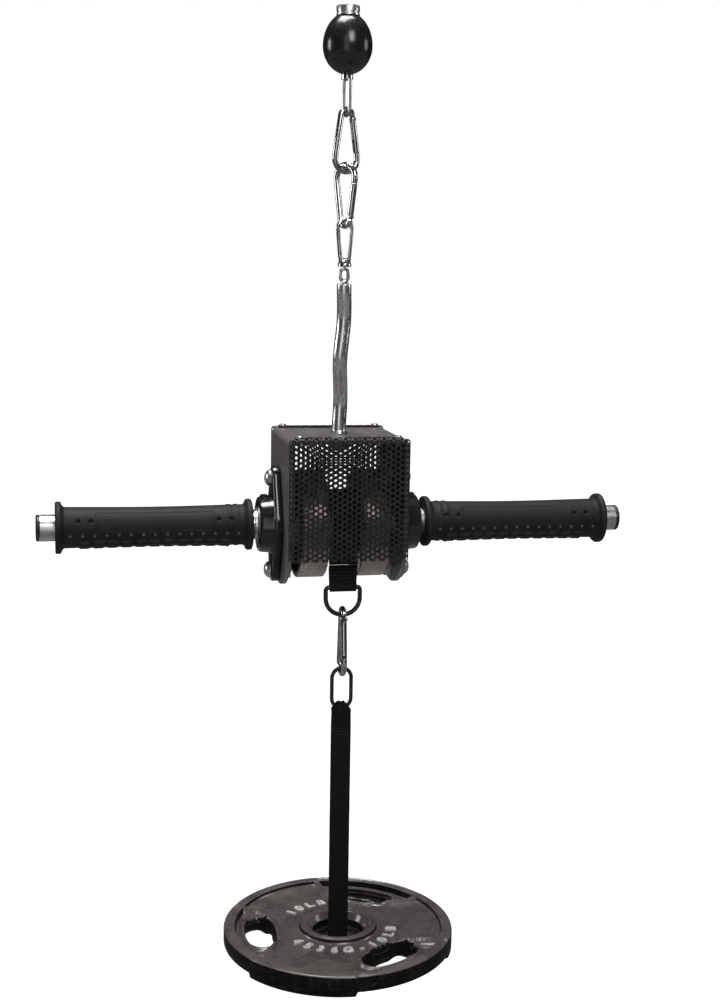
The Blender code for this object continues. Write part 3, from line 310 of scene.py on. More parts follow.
def bare_metal(name, colour, dark, roughness, scale=55.0, brush=None, brush_depth=0.000004, scratch=0.35,
               metal=1.0):
    """Bare or plated metal with tarnish, hairlines and, where it was turned, a brushed grain."""
    made, kit = new_surface(name)
    tarnish = kit.span(kit.grain(scale, 5.0), 0.45, 0.75)
    lines = kit.use(HAIRLINES, Density=70.0)["Mask"]
    body = kit.colours(kit.times(tarnish, 0.7), colour, dark)
    rough = kit.plus(kit.span(kit.grain(scale * 4, 4.0), 0.3, 0.7, roughness * 0.75, roughness * 1.35),
                     kit.times(kit.times(lines, scratch), 0.18))
    if brush:
        grain = kit.grain(1.0, 4.0, brush)
        rough = kit.plus(rough, kit.span(grain, 0.3, 0.7, -0.03, 0.04))
        normal = kit.bump(grain, brush_depth, 0.6)
    else:
        normal = kit.bump(kit.plus(kit.grain(420.0, 2.0), lines), 0.000004, 0.4)
    kit.shade(Base_Color=body, Roughness=rough, Normal=normal, Metallic=metal)
    return made


def painted_metal(name, colour, lighter, roughness, peel, depth=0.00005, wear_and_relief_light=0.3,
                  under=(0.15, 0.14, 0.13, 1), coat=0.0, specular=0.5, patches=260.0, radius=0.0006):
    """Sprayed paint with orange peel, duller and lighter patches, and edges rubbed to the metal."""
    made, kit = new_surface(name)
    skin = kit.use(PAINT_SKIN, Scale=peel)
    edge = kit.times(kit.use(WORN_EDGES, Radius=radius, Patches=patches)["Mask"], wear_and_relief_light)
    lines = kit.times(kit.use(HAIRLINES, Density=26.0)["Mask"], 0.25)
    body = kit.colours(kit.times(skin["Patches"], 0.8), colour, lighter)
    body = kit.colours(kit.calc("MAXIMUM", edge, lines), body, under)
    rough = kit.span(skin["Patches"], 0.0, 1.0, roughness * 0.85, roughness * 1.2)
    rough = kit.plus(rough, kit.times(lines, 0.3))
    kit.shade(Base_Color=body, Roughness=rough, Normal=kit.bump(skin["Height"], depth, 0.5),
              Metallic=kit.times(edge, 0.6), Coat_Weight=coat, Coat_Roughness=0.12,
              Specular_IOR_Level=specular)
    return made


def make_rod_chrome():
    """Chrome over bar stock that was bent by hand, with shallow ripples along it."""
    made = bare_metal("rod_chrome", (0.86, 0.86, 0.85, 1), (0.56, 0.55, 0.54, 1), 0.24, scale=38.0)
    kit = Nodes(made.node_tree)
    fine = kit.shader.inputs["Normal"].links[0].from_socket
    kit.shade(Normal=kit.bump(kit.grain(26.0, 1.0, (1.6, 1.6, 1.0)), 0.0012, 0.5, fine))
    return made


def make_numeral_silver():
    made, kit = new_surface("numeral_silver")
    patches = kit.span(kit.grain(420.0, 5.0), 0.35, 0.7)
    body = kit.colours(patches, (0.80, 0.79, 0.77, 1), (0.42, 0.41, 0.40, 1))
    kit.shade(Base_Color=body, Roughness=kit.span(patches, 0.0, 1.0, 0.35, 0.6), Metallic=0.25,
              Normal=kit.bump(kit.grain(900.0, 3.0), 0.00008, 0.5))
    return made


def make_ball_plastic():
    """Hard glossy moulded plastic with fine handling marks."""
    made, kit = new_surface("ball_plastic")
    lines = kit.use(HAIRLINES, Density=34.0)["Mask"]
    haze = kit.span(kit.grain(60.0, 4.0), 0.45, 0.75)
    body = kit.colours(kit.times(lines, 0.35), (0.0075, 0.0072, 0.007, 1), (0.05, 0.048, 0.046, 1))
    rough = kit.plus(kit.times(haze, 0.08), kit.times(lines, 0.15))
    kit.shade(Base_Color=body, Roughness=kit.plus(0.20, rough), Specular_IOR_Level=0.55,
              Normal=kit.bump(kit.grain(90.0, 1.0), 0.00006, 0.3))
    return made


def make_cap_plastic():
    made, kit = new_surface("cap_plastic")
    patches = kit.span(kit.grain(150.0, 4.0), 0.35, 0.7)
    body = kit.colours(patches, (0.010, 0.010, 0.010, 1), (0.021, 0.020, 0.019, 1))
    kit.shade(Base_Color=body, Roughness=kit.span(patches, 0.0, 1.0, 0.32, 0.48),
              Normal=kit.bump(kit.grain(1400.0, 2.0), 0.00004, 0.5))
    return made


def make_grip_rubber():
    """Moulded rubber: dull, with a fine skin and edges worn lighter; its studs and knobs are painted lighter
    as painted highlights and its dimples near black as painted shade.
    """
    made, kit = new_surface("grip_rubber")
    fine = kit.grain(2300.0, 3.0)
    broad = kit.span(kit.grain(70.0, 5.0), 0.35, 0.7)
    edge = kit.use(WORN_EDGES, Radius=0.0009, Patches=500.0)["Mask"]
    body = kit.colours(broad, (0.0060, 0.0056, 0.0053, 1), (0.0110, 0.0103, 0.0097, 1))
    body = kit.colours(kit.times(edge, 0.5), body, (0.060, 0.056, 0.054, 1))
    # Painted light from make_grips: studs and knobs painted lighter as painted highlights, dimples painted
    # near black as painted shade.
    relief_light_and_shade = kit.add("Attribute", attribute_name="relief_light_and_shade").outputs["Fac"]
    body = kit.colours(kit.span(relief_light_and_shade, 0.2, 1.0), body, (0.105, 0.098, 0.092, 1))
    body = kit.colours(kit.span(relief_light_and_shade, -0.1, -1.0), body, grey(0.002))
    rough = kit.calc("SUBTRACT", kit.span(fine, 0.3, 0.7, 0.55, 0.72), kit.times(edge, 0.12))
    normal = kit.bump(kit.plus(fine, kit.times(broad, 0.5)), 0.00010, 0.6)
    kit.shade(Base_Color=body, Roughness=rough, Normal=normal, Specular_IOR_Level=0.28)
    return made


def make_webbing():
    """Black nylon webbing: twill relief, yarns of slightly different black, a low sheen with the raised yarns
    painted lighter as a painted sheen, and lint.
    """
    made, kit = new_surface("webbing")
    twill = kit.use(WEAVE)
    lint = kit.span(kit.grain(650.0, 6.0), 0.62, 0.80)
    body = kit.colours(twill["Yarn"], (0.0022, 0.0021, 0.0020, 1), (0.0052, 0.0049, 0.0047, 1))
    # Raised yarns are painted lighter and the hollows left darker: painted sheen and shade on the weave.
    body = kit.colours(kit.times(twill["Height"], 0.5), body, (0.0074, 0.0070, 0.0067, 1))
    body = kit.colours(kit.times(lint, 0.30), body, (0.045, 0.043, 0.042, 1))
    rough = kit.span(twill["Height"], 0.0, 1.0, 0.85, 0.60)
    kit.shade(Base_Color=body, Roughness=rough, Normal=kit.bump(twill["Height"], 0.00028, 0.8),
              Specular_IOR_Level=0.22)
    return made


def make_thread():
    """Twisted sewing thread, a little lighter than the webbing."""
    made, kit = new_surface("thread")
    twist = kit.grain(5200.0, 2.0)
    body = kit.colours(kit.span(twist, 0.4, 0.6), (0.014, 0.0135, 0.013, 1), (0.040, 0.038, 0.037, 1))
    kit.shade(Base_Color=body, Roughness=kit.span(twist, 0.3, 0.7, 0.45, 0.65),
              Normal=kit.bump(twist, 0.00006, 0.7), Specular_IOR_Level=0.35)
    return made


STEEL = bare_metal("polished_steel", (0.68, 0.67, 0.66, 1), (0.16, 0.155, 0.15, 1), 0.13)
ZINC = bare_metal("zinc_steel", (0.78, 0.77, 0.76, 1), (0.50, 0.48, 0.46, 1), 0.30, scale=120.0)
CHROME = make_rod_chrome()
TUBE_STEEL = bare_metal("tube_steel", (0.72, 0.71, 0.70, 1), (0.52, 0.51, 0.50, 1), 0.32, brush=(900, 30, 30))
DRUM_METAL = bare_metal("drum_metal", (0.32, 0.276, 0.262, 1), (0.25, 0.215, 0.204, 1), 0.27, scale=30.0,
                        brush=(700, 12, 12), brush_depth=0.000001, scratch=0.0, metal=0.72)
YOKE_PAINT = painted_metal("yoke_paint", (0.080, 0.072, 0.070, 1), (0.110, 0.100, 0.097, 1), 0.42,
                           peel=1100.0, wear_and_relief_light=0.35, under=(0.16, 0.15, 0.15, 1))
GUARD_PAINT = painted_metal("guard_paint", (0.0050, 0.0046, 0.0044, 1), (0.0095, 0.0088, 0.0084, 1), 0.42,
                            peel=1500.0, under=(0.06, 0.056, 0.052, 1), radius=0.0003)
CASTING_PAINT = painted_metal("casting_paint", (0.0060, 0.0056, 0.0054, 1), (0.013, 0.012, 0.0115, 1), 0.15,
                              peel=420.0, depth=0.00007, under=(0.10, 0.095, 0.09, 1), coat=0.35)
RING_BLACK = painted_metal("ring_black", (0.0045, 0.0045, 0.0045, 1), (0.010, 0.0095, 0.009, 1), 0.17,
                           peel=700.0, depth=0.00002, wear_and_relief_light=0.22, coat=0.3)
# Hammered stove enamel of a cast plate, worn on its rim and lips. Its upright walls and steep
# steps get a darker, duller copy of it as painted shade.
PLATE_PAINT = painted_metal("plate_paint", (0.066, 0.0570, 0.0552, 1), (0.116, 0.1010, 0.0978, 1), 0.27,
                            peel=420.0, depth=0.00015, wear_and_relief_light=0.65, under=(0.34, 0.31, 0.30, 1), coat=0.35,
                            patches=120.0, radius=0.0016)
# A darker, duller copy of the plate's enamel: painted shade for the plate's upright faces.
PLATE_SHADED_SIDE_PAINT = painted_metal("plate_shaded_side_paint", (0.0022, 0.0019, 0.0018, 1),
                                 (0.0060, 0.0052, 0.0050, 1), 0.42, peel=420.0, depth=0.00015, wear_and_relief_light=0.35,
                                 under=(0.14, 0.13, 0.125, 1), specular=0.06, patches=120.0, radius=0.0016)
NUMERAL_SILVER = make_numeral_silver()
BALL_PLASTIC = make_ball_plastic()
CAP_PLASTIC = make_cap_plastic()
GRIP_RUBBER = make_grip_rubber()
WEBBING = make_webbing()
THREAD = make_thread()


# Modelling helpers

def select_only(*pieces):
    bpy.ops.object.select_all(action="DESELECT")
    for piece in pieces:
        piece.select_set(True)
    bpy.context.view_layer.objects.active = pieces[0]


def open_edit(piece):
    select_only(piece)
    bpy.ops.object.mode_set(mode="EDIT")
    bpy.ops.mesh.select_all(action="SELECT")


def close_edit():
    bpy.ops.object.mode_set(mode="OBJECT")


def close_outward():
    """Leaves edit mode with all faces turned out."""
    bpy.ops.mesh.select_all(action="SELECT")
    bpy.ops.mesh.normals_make_consistent(inside=False)
    close_edit()


def tidy(piece):
    """Merges what coincides and turns the faces out."""
    open_edit(piece)
    bpy.ops.mesh.remove_doubles(threshold=1e-6)
    close_outward()


def settle():
    """Moves the selected piece's place, turn and size into its mesh."""
    bpy.ops.object.transform_apply(location=True, rotation=True, scale=True)


def turn(rings, sides, axis="Z", centre=(0, 0, 0)):
    """A piece made as on a lathe: a circle at the first ring, extruded and resized to the next
    ones. A ring is (radius, place along the axis). It is closed where it ends as it starts, and
    capped where it doesn't."""
    along = Vector((1, 0, 0)) if axis == "X" else Vector((0, 0, 1))
    tilt = (0, math.pi / 2, 0) if axis == "X" else (0, 0, 0)
    centre = Vector(centre)
    bpy.ops.mesh.primitive_circle_add(vertices=sides, radius=rings[0][0],
                                      location=centre + along * rings[0][1], rotation=tilt)
    piece = bpy.context.object
    settle()
    open_edit(piece)
    for (radius, place), (next_radius, next_place) in zip(rings, rings[1:]):
        step = along * (next_place - place)
        bpy.ops.mesh.extrude_region_move(TRANSFORM_OT_translate={"value": step})
        grow = next_radius / radius
        bpy.ops.transform.resize(value=(grow, grow, grow), center_override=centre + along * next_place)
    if rings[0] == rings[-1]:
        bpy.ops.mesh.select_all(action="SELECT")
        bpy.ops.mesh.remove_doubles(threshold=1e-6)
    else:
        bpy.ops.mesh.edge_face_add()
        bpy.ops.mesh.select_all(action="DESELECT")
        bpy.ops.mesh.select_non_manifold()
        bpy.ops.mesh.edge_face_add()
    close_outward()
    return piece


def bar(points, radius, smoothness, closed=False):
    """A round bar bent along the points."""
    bpy.ops.curve.primitive_bezier_curve_add(location=(0, 0, 0))
    curve = bpy.context.object.data
    curve.splines.clear()
    line = curve.splines.new("POLY")
    line.points.add(len(points) - 1)
    for spot, place in zip(line.points, points):
        spot.co = (*place, 1.0)
    line.use_cyclic_u = closed
    set_all(curve, {"dimensions": "3D", "bevel_depth": radius, "bevel_resolution": smoothness,
                    "use_fill_caps": not closed})
    bpy.ops.object.convert(target="MESH")
    piece = bpy.context.object
    tidy(piece)
    return piece


def bend(centre, radius, start, end, steps):
    """Points of an arc as (across, up), both ends included."""
    return [(centre[0] + radius * math.cos(start + (end - start) * i / steps),
             centre[1] + radius * math.sin(start + (end - start) * i / steps)) for i in range(steps + 1)]


def upright(line, y=0):
    """Points of a flat line, stood in a plane across Y."""
    return [(a, y, b) for a, b in line]


def add_modifier(piece, kind, **settings):
    """Adds a modifier with its settings and applies it."""
    select_only(piece)
    change = piece.modifiers.new(kind.lower(), kind)
    set_all(change, settings)
    bpy.ops.object.modifier_apply(modifier=change.name)


def round_edges(piece, width, segments, angle):
    add_modifier(piece, "BEVEL", width=width, segments=segments, limit_method="ANGLE",
                 angle_limit=math.radians(angle), harden_normals=False)


def discard(piece):
    bpy.data.objects.remove(piece, do_unlink=True)


def cut(piece, tool, operation="DIFFERENCE"):
    add_modifier(piece, "BOOLEAN", operation=operation, solver="EXACT", object=tool)
    discard(tool)


def unite(piece, tool):
    cut(piece, tool, "UNION")


def block(low, high):
    """A box between two corners."""
    low, high = Vector(low), Vector(high)
    bpy.ops.mesh.primitive_cube_add(size=1, location=(low + high) / 2, scale=high - low)
    piece = bpy.context.object
    settle()
    return piece


def outline_sheet(points, along, low, high):
    """A flat outline, filled and extruded from low to high along X or Z."""
    bpy.ops.mesh.primitive_circle_add(vertices=len(points), radius=1, fill_type="NGON")
    piece = bpy.context.object
    for vertex, (a, b) in zip(piece.data.vertices, points):
        vertex.co = (low, a, b) if along == "X" else (a, b, low)
    open_edit(piece)
    step = (high - low, 0, 0) if along == "X" else (0, 0, high - low)
    bpy.ops.mesh.extrude_region_move(TRANSFORM_OT_translate={"value": step})
    close_outward()
    return piece


def copy_of(piece):
    twin = piece.copy()
    twin.data = piece.data.copy()
    bpy.context.collection.objects.link(twin)
    return twin


def side_copy(master, sign, rise=0.0):
    """A copy moved from the origin to the shaft, or above or below it, and turned half round for
    the left side."""
    twin = copy_of(master)
    half_turn = Matrix.Rotation(0.0 if sign > 0 else math.pi, 4, "Z")
    twin.data.transform(Matrix.Translation((0, SHAFT.y, SHAFT.z + rise)) @ half_turn)
    return twin


def paint(piece, surface):
    piece.data.materials.clear()
    piece.data.materials.append(surface)


def finish(piece, name, surface, angle):
    """Names a piece, gives it its surface and smooths what is flatter than the angle."""
    piece.name = name
    piece.data.name = name
    paint(piece, surface)
    select_only(piece)
    settle()
    bpy.ops.object.shade_smooth_by_angle(angle=math.radians(angle))


def fit(piece, name, surface, body, slot, *nodes, angle=32):
    """Finishes a piece, gives it its body and hides the solids that it stands for. The slot is not used."""
    finish(piece, name, surface, angle)
    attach(piece, body)
    if nodes:
        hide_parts(*nodes)


def fit_both(*rows):
    """Fits a copy of each row's master at both ends of the shaft, and discards the masters. A row
    is what fit takes, and its two names get the side's name."""
    for side, sign in SIDES:
        for master, name, surface, body, slot, node in rows:
            fit(side_copy(master, sign), f"{name}_{side}", surface, body, slot, f"{node}_{side}")
    for row in rows:
        discard(row[0])


# Camera, floor and light

def make_camera():
    back = CAMERA_DISTANCE
    place = (-back * math.sin(CAMERA_TURN), -back * math.cos(CAMERA_TURN), CAMERA_HEIGHT)
    round_it = Matrix.Rotation(-(CAMERA_TURN + CAMERA_AIM), 3, "Z")
    down = Matrix.Rotation(math.pi / 2 - CAMERA_PITCH, 3, "X")
    look = round_it @ down @ Matrix.Rotation(CAMERA_ROLL, 3, "Z")
    bpy.ops.object.camera_add(location=place, rotation=look.to_euler())
    camera = bpy.context.object
    set_all(camera.data, {"lens": CAMERA_LENS, "sensor_width": 36, "clip_end": 50})
    bpy.context.scene.camera = camera


def plain_rays(kit):
    """1 for rays that come straight from the camera, from a mirror or through glass."""
    path = kit.add("LightPath").outputs
    seen = kit.calc("MAXIMUM", path["Is Camera Ray"], path["Is Glossy Ray"])
    return kit.calc("MAXIMUM", seen, path["Is Transmission Ray"])


def make_floor():
    """Pale paper that glows a little where it is seen, so that it stays as even as a backdrop."""
    bpy.ops.mesh.primitive_plane_add(size=30, location=(0, 0, FLOOR_HEIGHT))
    floor = bpy.context.object
    floor.name = "floor"
    made, kit = new_surface("floor_paper")
    speckle = kit.span(kit.grain(3.0, 4.0), 0.3, 0.7)
    kit.shade(Base_Color=kit.colours(speckle, grey(0.86), grey(0.90)), Roughness=0.9)
    glow = kit.add("Emission", {"Color": grey(1), "Strength": 1.3}).outputs[0]
    share = kit.times(plain_rays(kit), 0.84)
    kit.show(kit.add("MixShader", {0: share, 1: kit.shader.outputs[0], 2: glow}).outputs[0])
    paint(floor, made)


def make_world():
    """Pale studio walls: white where the camera sees them, softer where they light the object."""
    world = bpy.data.worlds.new("studio")
    bpy.context.scene.world = world
    world.use_nodes = True
    kit = Nodes(world.node_tree)
    background = world.node_tree.nodes["Background"].inputs
    kit.feed(background["Color"], kit.colours(plain_rays(kit), grey(0.24), grey(1)))
    kit.feed(background["Strength"], 1.0)


def make_lamps():
    """A key over the camera, a tall soft window on each side and a wide lamp above."""
    for place, aim, size, power in (
        ((0.27, -1.74, 0.78), (0, 0, -0.45), (0.66, 0.86), 16.0),
        ((-2.40, 0.60, 0.10), (0, 0, -0.40), (0.55, 0.90), 13.0),
        ((2.50, -0.30, 0.15), (0, 0, -0.45), (0.60, 0.90), 7.0),
        ((-0.15, 0.30, 1.60), (0, 0, -0.60), (1.30, 1.00), 62.0),
    ):
        toward = (Vector(aim) - Vector(place)).to_track_quat("-Z", "Y")
        bpy.ops.object.light_add(type="AREA", location=place, rotation=toward.to_euler())
        set_all(bpy.context.object.data,
                {"shape": "RECTANGLE", "size": size[0], "size_y": size[1], "energy": power})


def make_flags():
    """Cards that only mirrors see: a dim room with one pale wall behind the camera, so that
    bright metal keeps dark edges and black paint stays black."""
    for name, low, high, dim, pale in (
        ("card_back", (-3.2, 2.60, -1.2), (3.2, 2.62, 2.6), 0.01, 0.05),
        ("card_left", (-3.2, -3.0, -1.2), (-3.18, 2.6, 2.6), 0.01, 0.04),
        ("card_right", (3.18, -3.0, -1.2), (3.2, 2.6, 2.6), 0.01, 0.04),
        ("card_top", (-3.2, -3.0, 2.60), (3.2, 2.6, 2.62), 0.05, 0.24),
        ("card_low", (-3.2, -3.0, -1.24), (3.2, 2.6, -1.235), 0.10, 0.26),
        ("card_front", (-3.2, -3.0, -1.2), (3.2, -2.98, 2.6), 0.02, 0.08),
        ("card_pale", (-1.35, -2.7, -1.0), (-0.15, -2.68, 1.6), 0.75, 1.10),
    ):
        card = block(low, high)
        card.name = name
        made, kit = new_surface(name)
        patches = kit.span(kit.grain(0.9, 3.0), 0.35, 0.65)
        tone = kit.colours(patches, grey(dim), grey(pale))
        kit.show(kit.add("Emission", {"Color": tone, "Strength": 1.0}).outputs[0])
        made.node_tree.nodes.remove(kit.shader)
        paint(card, made)
        set_all(card, {"visible_camera": False, "visible_diffuse": False, "visible_shadow": False,
                       "visible_transmission": False})


# Cable end

def make_ferrule():
    low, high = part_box("cable_ferrule")
    radius = high.x
    groove = radius - 0.0007
    swage = turn([
        (0.0042, high.z - 0.0012), (0.0046, high.z), (radius - 0.0016, high.z),
        (radius - 0.0004, high.z - 0.0005), (radius, high.z - 0.0016), (radius, low.z + 0.0040),
        (groove, low.z + 0.0034), (groove, low.z + 0.0024), (radius, low.z + 0.0018),
        (radius, low.z + 0.0006), (radius - 0.0008, low.z),
    ], 64)
    fit(swage, "ferrule_swage", ZINC, "cable_end", "polished_steel", "cable_ferrule")


def make_ball():
    """The egg-shaped stop: one quarter of an ellipse above its widest place and one below."""
    low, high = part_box("ball_stop")
    radius = high.x
    flat, bore = 0.0112, 0.0059
    widest = high.z - 0.026
    top_angle = math.acos(flat / radius)
    rise = (high.z - widest) / math.sin(top_angle)
    drop = widest - low.z
    rings = [(0.0035, high.z - 0.0008), (0.0098, high.z - 0.0008), (0.0106, high.z)]
    for i in range(15):
        angle = top_angle * (1 - i / 14)
        rings.append((radius * math.cos(angle), widest + rise * math.sin(angle)))
    low_angle = math.acos(bore / radius)
    for i in range(1, 19):
        angle = low_angle * i / 18
        rings.append((radius * math.cos(angle), widest - drop * math.sin(angle)))
    rings += [(bore - 0.0001, low.z + 0.0005), (bore - 0.0001, low.z + 0.008)]
    ball = turn(rings, 72)
    fit(ball, "ball_moulding", BALL_PLASTIC, "cable_end", "gloss_black", "ball_stop", angle=50)


def make_end_eye():
    """The long eye, with the stub that goes up into the ball."""
    low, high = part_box("end_eye")
    wire_radius, width = 0.0018, 0.0148
    half = width / 2 - wire_radius
    stub_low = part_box("ball_stop")[0].z - 0.005
    line = [(-half, stub_low + 0.001)]
    line += bend((0, low.z + wire_radius + half), half, math.pi, math.tau, 22)
    line += [(half, stub_low + 0.001)]
    eye = bar(upright(line), wire_radius, smoothness=5)
    stub = turn([(0.0040, stub_low), (0.0055, stub_low + 0.0009), (0.0055, stub_low + 0.0042),
                 (0.0048, stub_low + 0.0050), (0.0048, high.z - 0.0004), (0.0040, high.z)], 40)
    unite(eye, stub)
    eye.data.transform(Matrix.Rotation(HOOK_1_TURN + math.pi / 2, 4, "Z"))
    fit(eye, "eye_bolt", STEEL, "cable_end", "polished_steel", "end_eye")


# Snap hooks

class HookLine:
    """Centre line of a pear-shaped hook in its own plane, wide end down and gate at +X."""

    def __init__(self, length, wire, wide, narrow):
        self.wire = wire
        self.wide = (wide - wire) / 2
        self.narrow = (narrow - wire) / 2
        self.spread = length - wire - self.wide - self.narrow
        self.lean = math.asin((self.wide - self.narrow) / self.spread)
        self.gate_top = self.spot(self.narrow, self.spread)
        wide_end = self.spot(self.wide, 0)
        self.down = (wide_end - self.gate_top).normalized()
        self.gate_bottom = wide_end - self.down * wire * 0.6
        self.pivot = self.gate_top + self.down * (wire / 2 + GAP)

    def spot(self, radius, height):
        return Vector((radius * math.cos(self.lean), 0, height + radius * math.sin(self.lean)))

    def points(self):
        over = bend((0, self.spread), self.narrow, self.lean, math.pi - self.lean, 16)
        under = bend((0, 0), self.wide, math.pi - self.lean, math.tau + self.lean, 28)
        return upright(over + under) + [tuple(self.gate_bottom)]


def tongue(hook, start, direction, reach):
    """The flat that goes on from the end of the wire into the gate's slot."""
    side = Vector((-direction.z, 0, direction.x)) * hook.wire * 0.36
    back = start - direction * hook.wire * 0.5
    tip = start + direction * reach
    shoulder = start + direction * reach * 0.7
    corners = [back + side, shoulder + side, tip + side * 0.5, tip - side * 0.5, shoulder - side, back - side]
    thick = hook.wire * TONGUE_SHARE
    flat = outline_sheet([(c.x, c.z) for c in corners], "X", -thick, thick)
    flat.data.transform(Matrix.Rotation(-math.pi / 2, 4, "Z"))
    tidy(flat)
    return flat


def make_hook(name, hook, place, turned_by, wide_up, collar):
    """One hook: body with its two tongues, slotted gate and riveted pin."""
    wire = hook.wire
    body = bar(hook.points(), wire / 2 * WIRE_SHARE, smoothness=6)
    round_edges(body, wire * 0.12, 3, 60)
    unite(body, tongue(hook, hook.gate_top, hook.down, wire * 0.9 + GAP))
    unite(body, tongue(hook, hook.gate_bottom, -hook.down, wire * 0.65))
    if collar:
        collar(body)

    run = (hook.gate_bottom - hook.pivot).length - 0.0004
    half = wire / 2
    rings = [(half * math.sin(a), half * math.cos(a)) for a in (0.25, 0.6, 0.95, 1.25)]
    rings += [(half, 0), (half, -run * 0.5), (half, -run + wire * 0.12), (half - wire * 0.08, -run)]
    gate = turn(rings, 32)
    slot = wire * TONGUE_SHARE + GAP
    cut(gate, block((-wire, -slot, -(wire * 0.4 + 0.0009)), (wire, slot, wire)))
    cut(gate, block((-wire, -slot, -run - wire), (wire, slot, -run + wire * 0.65 + 0.0005)))
    lean = Matrix.Rotation(math.atan2(-hook.down.x, -hook.down.z), 4, "Y")
    gate.data.transform(Matrix.Translation(hook.pivot) @ lean)

    head, shank = wire * 0.323, wire * 0.18
    one_end = [(shank, half), (head, half), (head, half + wire * 0.04), (head * 0.6, half + wire * 0.12)]
    rivet = turn([(radius, -place) for radius, place in reversed(one_end)] + one_end, 20)
    rivet.data.transform(Matrix.Translation(hook.pivot) @ Matrix.Rotation(math.pi / 2, 4, "X"))

    flip = Matrix.Rotation(math.pi, 4, "X") if wide_up else Matrix.Identity(4)
    into_place = Matrix.Translation(place) @ Matrix.Rotation(turned_by, 4, "Z") @ flip
    for piece in (body, gate, rivet):
        piece.data.transform(into_place)
    fit(body, name + "_wire", STEEL, name, "polished_steel", name + "_body")
    fit(gate, name + "_gate_bar", STEEL, name + "_gate_bar", "polished_steel", name + "_gate")
    fit(rivet, name + "_rivet", ZINC, name, "polished_steel", name + "_pin")


def add_collar(body):
    """The round collar at the narrow end, bored for the swivel's stem."""
    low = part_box("swivel_hook_body")[1].z - SWIVEL[2] / 2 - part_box("swivel_hook_body")[0].z
    collar = turn([(0.0036, low - 0.007), (0.0046, low - 0.0062), (0.0062, low - 0.0036),
                   (0.0065, low - 0.003), (0.0065, low - 0.0006), (0.0060, low)], 48)
    unite(body, collar)
    cut(body, turn([(0.0018, low - 0.02), (0.0018, low + 0.01)], 24))


def make_hooks():
    for name, size, y, turned_by, wide_up, collar in (
        ("snap_hook_1", SNAP, 0, HOOK_1_TURN, False, None),
        ("snap_hook_2", SNAP, 0, HOOK_2_TURN, True, None),
        ("swivel_hook", SWIVEL, 0, SWIVEL_TURN, True, add_collar),
        ("load_hook", LOAD, LOAD_LINE, LOAD_TURN, False, None),
    ):
        low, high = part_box(name + "_body")
        wide_half = size[2] / 2
        place = (0, y, high.z - wide_half if wide_up else low.z + wide_half)
        make_hook(name, HookLine(*size), place, turned_by, wide_up, collar)


def make_swivel_eye():
    """Stem that turns in the swivel hook's collar, long loop, and round foot on the rod."""
    low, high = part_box("swivel_eye")
    loop_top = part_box("swivel_hook_body")[0].z - GAP
    wire_radius, width, length = 0.0016, 0.0105, 0.0145
    half = width / 2 - wire_radius
    rise = length / 2 - wire_radius - half
    centre = loop_top - length / 2
    line = bend((0, centre + rise), half, 0, math.pi, 18)
    line += bend((0, centre - rise), half, math.pi, math.tau, 18)
    eye = bar(upright(line), wire_radius, closed=True, smoothness=5)
    unite(eye, turn([(0.0012, high.z), (0.0019, high.z - 0.0005), (0.0021, high.z - 0.002),
                     (0.0015, high.z - 0.002), (0.0015, loop_top - 0.002), (0.0010, loop_top - 0.0022)], 28))
    unite(eye, turn([(0.0034, low.z), (0.0040, low.z + 0.0005), (0.0040, low.z + 0.0019),
                     (0.0034, low.z + 0.0025)], 36))
    fit(eye, "swivel_loop", STEEL, "housing", "chrome", "swivel_eye")


# Hanger rod

def make_hanger_rod():
    """A rod that goes back to the housing's line in a soft S, with its stud and collar below."""
    low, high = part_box("hanger_rod")
    yoke_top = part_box("yoke_frame")[1].z
    length = high.z - yoke_top - GAP
    steps = 72
    points = []
    for i in range(steps + 1):
        share = i / steps
        wave = math.sin(math.tau * 1.5 * share) * math.sin(math.pi * share)
        back = SHAFT.y * smooth(share, 0, 1) + 0.0045 * wave
        points.append((0.0022 * wave, back, high.z - length * share))
    rod = bar(points, 0.007, smoothness=10)
    round_edges(rod, 0.0009, 3, 60)
    foot = (0, SHAFT.y, yoke_top)
    unite(rod, turn([(0.0042, low.z - yoke_top), (0.005, low.z - yoke_top + 0.0008), (0.005, 0.004)], 32,
                    centre=foot))
    unite(rod, turn([(0.0070, 0.0004), (0.0084, 0.0006), (0.0080, 0.0016), (0.0068, 0.0030)], 48,
                    centre=foot))
    fit(rod, "hanger_bar", CHROME, "housing", "chrome", "hanger_rod", angle=45)


# Yoke and guards

